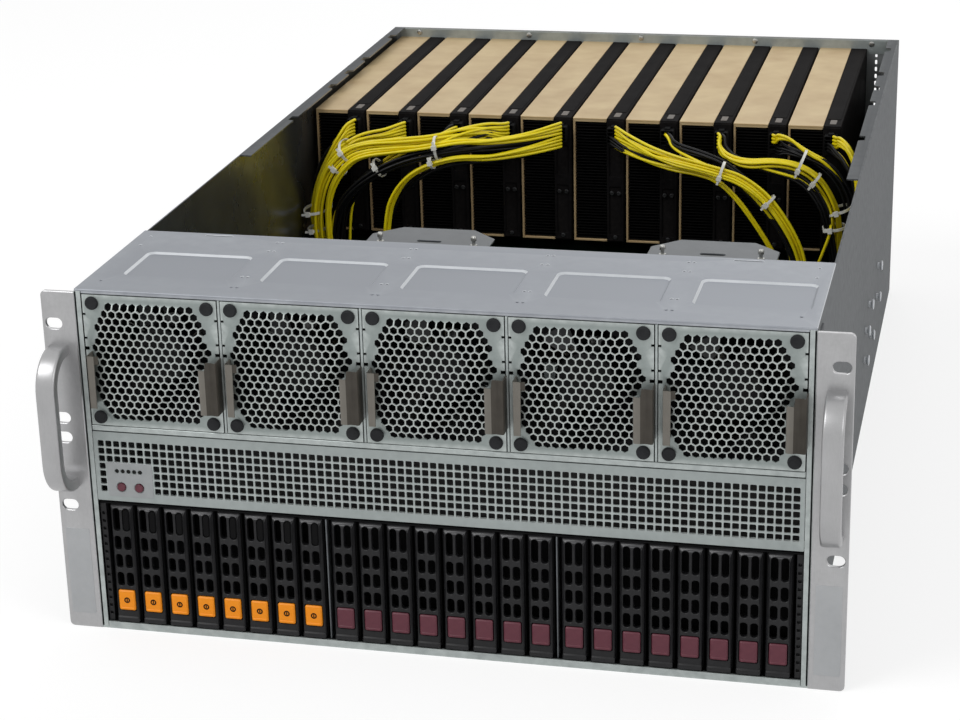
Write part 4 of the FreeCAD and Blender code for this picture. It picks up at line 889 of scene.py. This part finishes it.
# painted highlight on the crown's upward faces
paint(bezelMesh, "trayCrown", lambda face: face.normal.z > 0.3 and face.center.z > 76 * mm)
bodyMesh = makeMesh("trayBody", trayBody(), "blackPartsAndPaintedShade")
driveMesh = makeMesh("driveUnit", driveUnit(), "paintedShadeSteel")
amberMesh, maroonMesh = (makeMesh(f"{colour}Release", releaseButton(), f"{colour}Plastic", 30)
                         for colour in ("amber", "maroon"))
lockRing = punched(circleLoop(0, 0, 1.9, 20), [circleLoop(0, 0, 1.1, 20)], 0.5, 0.1)
lockBar = plate(-0.35, -0.9, 0.35, 0.9, 0.2, 2, 0.5, 0.1)
lockMesh = makeMesh("lockMark", joined([lockRing, lockBar]), "blackPartsAndPaintedShade", 50)
insertShape = plate(-2.05, 62.0, 2.05, 75.8, 1.8, 4, 3.0, 0.6, crowned)
insertMesh = makeMesh("ventInsert", moved(insertShape, tray.slotX, 0.2 - tray.proud), "blackPartsAndPaintedShade", 30)
for k in range(24):
    number = f"{k + 1:02d}"
    body = f"drive_{number}"
    at = ((k // 8 - 1) * tray.group + (k % 8 - 3.5) * tray.pitch, tray.front, tray.foot)
    put(f"trayBezel{number}", bezelMesh, body, at, stands=[body])
    put(f"trayBody{number}", bodyMesh, body, at)
    put(f"driveUnit{number}", driveMesh, body, at)
    isAmber = k < tray.amber
    put(f"release{number}", amberMesh if isAmber else maroonMesh, body, at)
    if isAmber:
        put(f"lockMark{number}", lockMesh, body, (at[0] + 0.2, at[1] - 0.87 - tray.proud, at[2] + 15.4))
        put(f"ventInsert{number}", insertMesh, body, at)
print("drive trays built")


# Drive cage: thin steel dividers, black end posts with square holes, floor and top sheets

cage = Sizes(near=-366.9, back=-246.5, low=4.7, high=84.2, postIn=210.4, postOut=214.2)
sheets = [block((-grille.half, cage.near - 0.1, low), (grille.half, cage.back, high))
          for low, high in ((1.2, cage.low), (cage.high, cage.high + 1.2))]
# floor and top sheets in near black: painted shade inside the cage
piece("cageSheets", joined(sheets), "blackPartsAndPaintedShade", bevel=0.2, stands=["drive_cage"])
divider = onSide(plate(cage.near, cage.low, cage.back, cage.high, 0.5, 2, 0.8, 0.3), 0.4)
piece("cageDividers", repeated(divider, [(-tray.group / 2,), (tray.group / 2,)]), "paintedShadeSteel")
postHoles = [roundRect(211.4, 9 + 5.2 * k, 213.2, 10.8 + 5.2 * k, 0.3, 2) for k in range(14)]
postOutline = roundRect(cage.postIn, cage.low, cage.postOut, cage.high, 0.6, 3)
postFace = punched(postOutline, postHoles, 1.6, 0.3)
postBack = block((cage.postIn, 1.6, cage.low), (cage.postOut, 120, cage.high))
piece("cagePosts", pair(moved(joined([postFace, postBack]), 0, cage.near)), "trayPlastic")
print("drive cage built")


# Rack ears, bare label plates and bow handles

ear = Sizes(
    front=-369.2, thick=2.5, inside=218.5, outside=239.7, high=220.3, slotX=232.55,
    slots=(82.55, 127.0, 139.7, 200.025), slotLength=10.6, slotWidth=7.1)


def earShape():
    half, tall = ear.slotLength / 2, ear.slotWidth / 2
    holes = [roundRect(ear.slotX - half, z - tall, ear.slotX + half, z + tall, tall - 0.01, 6)
             for z in ear.slots]
    outline = [(ear.inside, 0)] + roundRect(ear.inside, 0, ear.outside, ear.high, 3.0, 5)[0:12]
    outline.append((ear.inside, ear.high))
    return moved(punched(outline, holes, ear.thick, 0.35), 0, ear.front)


def earLeg():
    rivets = [circleLoop(y, z, 1.6, 14) for y in (14, 24) for z in (40, 110, 180)]
    leg = punched(roundRect(ear.thick, 4.6, 30.7, ear.high - 4.6, 2.0, 4), rivets, 1.2, 0.3)
    return moved(onSide(leg, ear.inside + 1.2), 0, ear.front)


piece("rackEars", pair(earShape()), "satinAluminium", stands=["rack_ears"])
# the ear legs take the same darker outer finish with its painted shade
piece("earLegs", pair(earLeg()), "outerSteelPaintedShade")
labelPlate = plate(221.6, 9.5, 237.0, 67.0, 0.8, 3, 0.25, 0.1)
piece("earPlates", pair(moved(labelPlate, 0, ear.front - 0.2)), "blankPlate")

bow = Sizes(x=230.55, width=12.0, thick=7.0, low=95.0, high=187.0, reach=27.0, bend=20.0, corner=1.6)


def bowHandle():
    front = ear.front
    far = front - bow.reach + bow.thick / 2
    low, high, bend = bow.low + bow.thick / 2, bow.high - bow.thick / 2, bow.bend
    side = Vector((1, 0, 0))
    legs = [[Vector((bow.x, y, z)) for y in (front, far + bend + 2)] for z in (low, high)]
    path = [(place, side, Vector((0, 0, -1))) for place in legs[0]]
    for centreZ, start in ((low + bend, -math.pi / 2), (high - bend, 0.0)):
        for k in range(13):
            angle = start + math.pi / 2 * k / 12
            out = Vector((0, -math.cos(angle), math.sin(angle)))
            path.append((Vector((bow.x, far + bend, centreZ)) + out * bend, side, out))
    path += [(place, side, Vector((0, 0, 1))) for place in reversed(legs[1])]
    section = roundRect(-bow.width / 2, -bow.thick / 2, bow.width / 2, bow.thick / 2, bow.corner, 4)
    return swept(section, path)


piece("bowHandles", pair(bowHandle()), "satinAluminium", smooth=50, stands=["ear_handles"])
print("ears and handles built")


# Front cover: five pressed panels with rounded corners, small round holes and the folded front lip

cover = Sizes(
    half=218.5, front=-368.5, back=-249.8, top=222.25, sheet=1.2, panelLeft=-199.7, pitch=86.0,
    panelWidth=68.4, panelNear=-339.0, panelFar=-292.0, deep=1.2, round=5.0, slope=1.4)
panelLefts = [cover.panelLeft + k * cover.pitch for k in range(5)]
panelBoxes = [(x, cover.panelNear, x + cover.panelWidth, cover.panelFar) for x in panelLefts]
dimples = [((k - 1.5) * cover.pitch + 4.5 + side * 1.7, y) for k in range(4) for side in (-1, 1)
           for y in (-351.0, -331.0, -280.0, -262.0)]
dimples += [(side * x, y) for side in (-1, 1) for x, y in ((208, -351), (210, -280), (210, -262))]


def pressed(x, y):
    for x0, y0, x1, y1 in panelBoxes:
        aside = max(x0 + cover.round - x, x - x1 + cover.round)
        ahead = max(y0 + cover.round - y, y - y1 + cover.round)
        inside = cover.round - (math.hypot(aside, ahead) if min(aside, ahead) > 0 else max(aside, ahead))
        if inside > cover.slope / 2:
            return cover.deep
    return 0.0


def coverShape():
    creases = []
    for x0, y0, x1, y1 in panelBoxes:
        creases.append(roundRect(x0, y0, x1, y1, cover.round, 6))
        creases.append(roundRect(x0 + cover.slope, y0 + cover.slope, x1 - cover.slope, y1 - cover.slope,
                                 cover.round - cover.slope, 6))
    cuts = [roundRect(x - 9, cover.back - 5.2, x + 9, cover.back - 3.4, 0.8, 3) for x in (-167, 167)]
    cuts += [circleLoop(x, y, 0.9, 10) for x, y in dimples]
    outline = roundRect(-cover.half, cover.front, cover.half, cover.back, 0.8, 2)
    sheet = laidFlat(punched(outline, cuts, cover.sheet, 0.3, pressed, creases), cover.top)
    lip = moved(plate(-grille.half, 219.65, grille.half, 221.2, 0.3, 2, 1.2, 0.2), 0, cover.front)
    return joined([sheet, lip])


# the pressed panels' far and side slopes, which carry the painted highlight
def isHighlightedPanelEdge(face):
    side = face.normal
    return 0.3 < side.z < 0.97 and min(side.y, -side.x) < -0.2 and face.center.y > -345 * mm


lid = piece("frontCover", coverShape(), "coverSteel", smooth=12, stands=["front_cover"])
# painted highlight: bright lines along the panel edges in a pale finish
paint(lid.data, "paleSteelAndEdgeHighlight", isHighlightedPanelEdge)
print("front cover built")


# Cards: folded shrouds, fin stacks set back in their mouths, black board covers, plugs, labels and screws

card = Sizes(
    first=-212.4, pitch=40.64, count=10, shroud=25.7, cover=13.3, low=116.0, high=213.0, front=105.3,
    back=367.3, wall=1.6, finPitch=2.3, fin=0.5)
boardX = card.shroud + card.cover / 2


def cardShroud():
    outline = [(0, card.low), (card.shroud, card.low), (card.shroud, card.low + card.wall),
               (card.wall, card.low + card.wall), (card.wall, card.high - card.wall),
               (card.shroud, card.high - card.wall), (card.shroud, card.high), (0, card.high)]
    channel = punched(outline, [], card.back - card.front, 0.3)
    brow = moved(plate(0.2, card.high - 3.0, card.shroud - 0.2, card.high - 0.2, 0.4, 2, 1.0, 0.3), 0, 0.1)
    return moved(joined([channel, brow]), 0, card.front)


def cardFins():
    parts = []
    z = card.low + card.wall + 1
    while z < card.high - card.wall - 2:
        parts.append(block((card.wall, card.front + 0.8, z), (card.shroud, card.front + 40, z + card.fin)))
        z += card.finPitch
    parts.append(block((card.wall, card.front + 40, card.low + card.wall),
                       (card.shroud, card.back, card.high - card.wall)))
    return joined(parts)


def cardCover():
    left, edge = card.shroud, card.shroud + card.cover
    side = plate(left, card.low, edge, card.high, 0.9, 3, card.back - card.front, 0.5)
    frameHoles = [roundRect(left + 2.2, card.low + 6, edge - 2.2, card.low + 44, 0.8, 3),
                  roundRect(left + 2.2, card.low + 52, edge - 2.2, card.high - 22, 0.8, 3)]
    outline = roundRect(left + 0.3, card.low + 1, edge - 0.3, card.high - 1, 0.8, 3)
    brow = moved(punched(outline, frameHoles, 1.2, 0.3), 0, -1.1)
    ridge = laidFlat(plate(left + 1.4, 20, edge - 1.4, 250, 0.8, 3, 0.8, 0.4), card.high + 0.35)
    return moved(joined([side, brow, ridge]), 0, card.front)


def cardPlug():
    holes = [roundRect(boardX - 4 + 4.2 * i, 196.9 + 2.7 * j, boardX - 0.4 + 4.2 * i, 199.1 + 2.7 * j, 0.4, 2)
             for i in range(2) for j in range(4)]
    shell = punched(roundRect(boardX - 5, 196, boardX + 5, 208, 1.0, 3), holes, 10.0, 0.4)
    latch = block((boardX - 2, 2, 208), (boardX + 2, 9, 209.2))
    return moved(joined([shell, latch]), 0, card.front - 10)


def cardLabel():
    label = laidFlat(plate(boardX - 2.4, 6, boardX + 2.4, 18, 0.6, 2, 0.5, 0.15), card.high + 0.3)
    return moved(label, 0, card.front)


def cardScrews():
    head = lathe([(0, -0.9), (1.2, -1.0), (1.7, -0.6), (1.8, 0)], 14)
    places = ((-2.6, 155), (2.8, 155), (0, 120))
    return repeated(head, [(boardX + x, card.front - 1.0, z) for x, z in places])


def everyCard(shape):
    return repeated(shape, [(card.first + k * card.pitch,) for k in range(card.count)])


piece("cardShrouds", everyCard(cardShroud()), "goldShroud", stands=["card_shrouds"])
piece("cardFins", everyCard(cardFins()), "finBlack", stands=["card_heat_sinks"])
piece("cardCovers", everyCard(cardCover()), "cardBlack", stands=["card_covers"])
piece("cardPlugs", everyCard(cardPlug()), "blackPartsAndPaintedShade")
piece("cardLabels", everyCard(cardLabel()), "labelGrey")
piece("cardScrews", everyCard(cardScrews()), "dimScrew")
print("cards built")


# Hold-down plates behind the fans with their thumbscrews

hold = Sizes(
    top=205.0, thick=1.2, near=-293.3, length=130.0, root=41.0, tip=24.0, middles=(-47.0, 137.0), slim=0.68,
    screwBack=34, screwAside=31)


def holdPlate():
    far = hold.near + hold.length
    neck = far - (hold.root - hold.tip)
    outline = [(-hold.root, hold.near), (hold.root, hold.near), (hold.root, neck), (hold.tip, far),
               (-hold.tip, far), (-hold.root, neck)]
    holes = [roundRect(-8, far - 30, 8, far - 26, 1.9, 4), circleLoop(-30, hold.near + 60, 2.4, 16),
             circleLoop(30, hold.near + 60, 2.4, 16)]
    return laidFlat(punched(outline, holes, hold.thick, 0.3), hold.top)


def thumbscrew():
    knurl = [(x, z) if k % 2 else (x * 0.92, z * 0.92) for k, (x, z) in enumerate(circleLoop(0, 0, 2.7, 32))]
    head = punched(knurl, [], 3.0, 0.5)
    post = moved(lathe([(1.7, 0), (1.7, 3.5)], 16), 0, 3)
    washer = moved(lathe([(3.4, 0), (3.6, 0.4), (3.6, 0.9)], 20), 0, 5.6)
    slim = mapped(joined([head, post, washer]), lambda x, y, z: (hold.slim * x, y, hold.slim * z))
    return laidFlat(slim, 6.5)


plateSpots = [(x,) for x in hold.middles]
screwY = hold.near + hold.length - hold.screwBack
screwSpots = [(x + side * hold.screwAside, screwY, hold.top) for x in hold.middles for side in (-1, 1)]
piece("holdDownPlates", repeated(holdPlate(), plateSpots), "paintedShadeSteel", stands=["hold_down_plates"])
piece("thumbscrews", repeated(thumbscrew(), screwSpots), "screwSteel")
print("hold-down plates built")


# Side walls: webs with rail studs, folded corners and a notched top flange

wall = Sizes(
    outer=218.5, sheet=1.2, front=-368.5, rear=368.5, low=1.2, high=221.05, corner=214.5, flangeIn=209.5,
    flangeNear=-62.0, flangeFar=367.0, flangeTop=221.05, tabs=(45, 148, 196, 244, 330),
    studs=((48, 52), (51, 74), (107, 51), (82, 84), (172, 60), (177, 84)), tabDeep=4.4)


def sideWall():
    web = plate(wall.front, wall.low, wall.rear, wall.high - 0.05, 0.3, 2, wall.sheet, 0.2)
    fold = block((wall.corner, wall.front, wall.low), (wall.outer, wall.front + wall.sheet, wall.high))
    edge = [(wall.outer - wall.sheet, wall.flangeNear), (wall.outer - wall.sheet, wall.flangeFar),
            (wall.flangeIn, wall.flangeFar)]
    tabIn = wall.flangeIn + wall.tabDeep
    for y in reversed(wall.tabs):
        edge += [(wall.flangeIn, y + 7), (tabIn, y + 5.6), (tabIn, y - 5.6), (wall.flangeIn, y - 7)]
    edge.append((wall.flangeIn, wall.flangeNear))
    flange = laidFlat(punched(edge, [], wall.sheet, 0.2), wall.flangeTop)
    return joined([onSide(web, wall.outer), fold, flange])


def railStuds():
    stud = lathe([(0, -4.0), (3.2, -4.0), (3.9, -3.5), (3.9, -2.6), (3.5, -2.2), (2.4, -2.0), (2.4, 0.3)], 20)
    return repeated(onSide(stud, wall.outer), [(0, y, z) for y, z in wall.studs])


def isOutside(face):
    return face.normal.x * face.center.x > 0.1 or face.normal.z > 0.5


def isFrontEdge(face):
    return face.normal.y < -0.5 and face.center.y < -360 * mm


walls = piece("sideWalls", pair(sideWall()), "wallSteel", stands=["side_walls"])
# outside faces get the darker finish, painted shade
paint(walls.data, "outerSteelPaintedShade", isOutside)
# painted highlight: the front-facing faces of the walls' folds take the lighter zinc finish
paint(walls.data, "zincSteel", lambda face: isFrontEdge(face) and not isOutside(face))
piece("railStuds", pair(railStuds()), "paleSteelAndEdgeHighlight", smooth=50)
print("side walls built")


# Rear panel: card windows with slotted brackets, vents, ports and the rail along the top

back = Sizes(
    half=217.3, low=1.2, high=221.05, near=367.3, sheet=1.2, cardLow=119.2, cardHigh=186.4, cardLeft=3.2,
    cardRight=35.8, supplyLeft=67.5, supplyHigh=83.4, ports=6, portFirst=-196.0, portPitch=24.0,
    portWidth=18.0, portLow=10.0, portHeight=15.0, portFace=370.6, vents=26, ventFirst=-206, ventPitch=9.4,
    ventLow=62, ventRise=8.2, ventHole=6.6)


def rearPanel():
    holes = []
    for k in range(card.count):
        left = card.first + k * card.pitch
        holes.append(roundRect(left + back.cardLeft, back.cardLow, left + back.cardRight, back.cardHigh,
                               1.0, 3))
    for k in range(back.ports):
        left = back.portFirst + k * back.portPitch
        holes.append(roundRect(left - 0.3, back.portLow - 0.3, left + back.portWidth + 0.3,
                               back.portLow + back.portHeight + 0.3, 0.5, 2))
    holes += [roundRect(x, z, x + 4.2, z + 4.2, 0.5, 2) for x in (203.2, 208.8) for z in (176, 182)]
    holes += [roundRect(199.2, 158 + 6 * k, 201, 161.6 + 6 * k, 0.6, 2) for k in range(9)]
    for k in range(back.vents):
        for row in range(3):
            x = back.ventFirst + back.ventPitch * k + (row % 2) * back.ventPitch / 2
            holes.append(hexLoop(x, back.ventLow + back.ventRise * row, back.ventHole))
    outline = [(-back.half, back.low), (back.supplyLeft, back.low), (back.supplyLeft, back.supplyHigh),
               (back.half, back.supplyHigh), (back.half, back.high), (-back.half, back.high)]
    return moved(punched(outline, holes, back.sheet, 0.15), 0, back.near)


def slotBracket():
    left, low, edge, high = back.cardLeft, back.cardLow, back.cardRight, back.cardHigh
    slots = [roundRect(left + 4 + 4.4 * k, low + 8, left + 6.4 + 4.4 * k, high - 8, 1.1, 3) for k in range(6)]
    outline = roundRect(left + 0.3, low + 0.3, edge - 0.3, high - 0.3, 0.8, 3)
    return moved(punched(outline, slots, 0.8, 0.2), 0, back.near + 0.2)


def railScrews():
    head = lathe([(0, -1.0), (1.4, -1.1), (2.2, -0.8), (2.4, 0.0)], 18)
    return repeated(head, [(x, back.near, 217.2) for x in (-196, -98, 0, 98, 196)])


def portFrame():
    low, high, wide = back.portLow, back.portLow + back.portHeight, back.portWidth
    mouth = roundRect(2, low + 2, wide - 2, high - 2.4, 0.5, 2)
    return facingBack(punched(roundRect(0, low, wide, high, 0.8, 3), [mouth], 1.0, 0.2), back.portFace)


# a thin dark sheet set inside each port: painted shade
def portHollow():
    low, high = back.portLow + 1.8, back.portLow + back.portHeight - 2.2
    return block((1.8, 369.75, low), (back.portWidth - 1.8, 369.85, high))


def everyPort(shape):
    return repeated(shape, [(back.portFirst + k * back.portPitch,) for k in range(back.ports)])


piece("rearPanel", rearPanel(), "railSteel", stands=["rear_panel"])
piece("slotBrackets", everyCard(slotBracket()), "zincSteel")
railFace = plate(-213.4, 208.4, 213.4, 220.2, 0.5, 2, 0.5, 0.2)
piece("rearRail", railFace, "zincSteel", at=(0, back.near - 0.5, 0))
piece("railScrews", railScrews(), "screwSteel", at=(0, -0.5, 0), smooth=50)
piece("portFrames", everyPort(portFrame()), "screwSteel")
piece("portHollows", everyPort(portHollow()), "blackPartsAndPaintedShade")
print("rear panel built")


# Power supplies: vented rear plates, mains inlets with pins, latches and lamps on the sliding cases

supply = Sizes(
    width=73.5, height=39.6, face=368.5, left=(67.9, 143.4), low=(1.6, 43.2), inlet=(4.0, 9.8, 32.0, 29.8))


def supplyFace():
    left, foot, edge, top = supply.inlet
    holes = [roundRect(left + 0.4, foot + 0.4, edge - 0.4, top - 0.4, 2.0, 4)]
    for row in range(6):
        for k in range(4):
            x, z = 38.5 + 6.2 * k + (row % 2) * 3.1, 6.0 + 5.4 * row
            if abs(z - supply.height / 2) > 4.5:
                holes.append(hexLoop(x, z, 4.6))
    outline = roundRect(0.4, 0.4, supply.width - 0.4, supply.height - 0.4, 1.0, 3)
    return facingBack(punched(outline, holes, 0.8, 0.2), 0.8)


def supplyPins():
    left, foot, edge, top = supply.inlet
    middle, height = (left + edge) / 2, (foot + top) / 2
    return joined([block((middle + x - 1, -16, height + z - 2), (middle + x + 1, -3, height + z + 2))
                   for x, z in ((-7, -2), (0, 3), (7, -2))])


def supplyLatch():
    tab = facingBack(plate(67.2, 10, 71.8, 30, 1.4, 4, 6.0, 0.8), 6.8)
    ridges = [block((67.8, 6.6, 13 + 3 * k), (71.2, 7.2, 14 + 3 * k)) for k in range(5)]
    return joined([tab] + ridges)


lampShape = facingBack(lathe([(0, -1.4), (0.9, -1.2), (1.4, -0.8), (1.4, 0)], 14), 0)
supplyMeshes = [makeMesh("supplyFace", supplyFace(), "zincSteel"),
                makeMesh("supplyPins", supplyPins(), "contactGold"),
                makeMesh("supplyLatch", supplyLatch(), "maroonPlastic"),
                makeMesh("supplyLamp", moved(lampShape, 35.0, 0, 34.6), "lampLens", 50)]
for k in range(4):
    body = f"power_supply_{k + 1}"
    at = (supply.left[k % 2], supply.face, supply.low[k // 2])
    for mesh in supplyMeshes:
        put(f"{mesh.name}{k + 1}", mesh, body, at)
print("power supplies built")


# Finishes of the CAD pieces that stay as they are

# the fan cage and card shelf take the near-black inner finish, painted shade
stays = {
    "bottom_pan": "zincSteel", "fan_cage": "innerSteelPaintedShade", "drive_backplane": "boardGreen",
    "card_shelf": "innerSteelPaintedShade", "expansion_board": "boardGreen", "processor_heat_sinks": "sinkAluminium",
    "system_board": "boardGreen", "supply_bay": "zincSteel",
}
stays.update({f"power_supply_{k + 1}": "supplyCase" for k in range(4)})
for name, finish in stays.items():
    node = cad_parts[name]
    node.data.materials.clear()
    node.data.materials.append(finishes[finish])
print("finishes on", len(stays), "solid pieces")
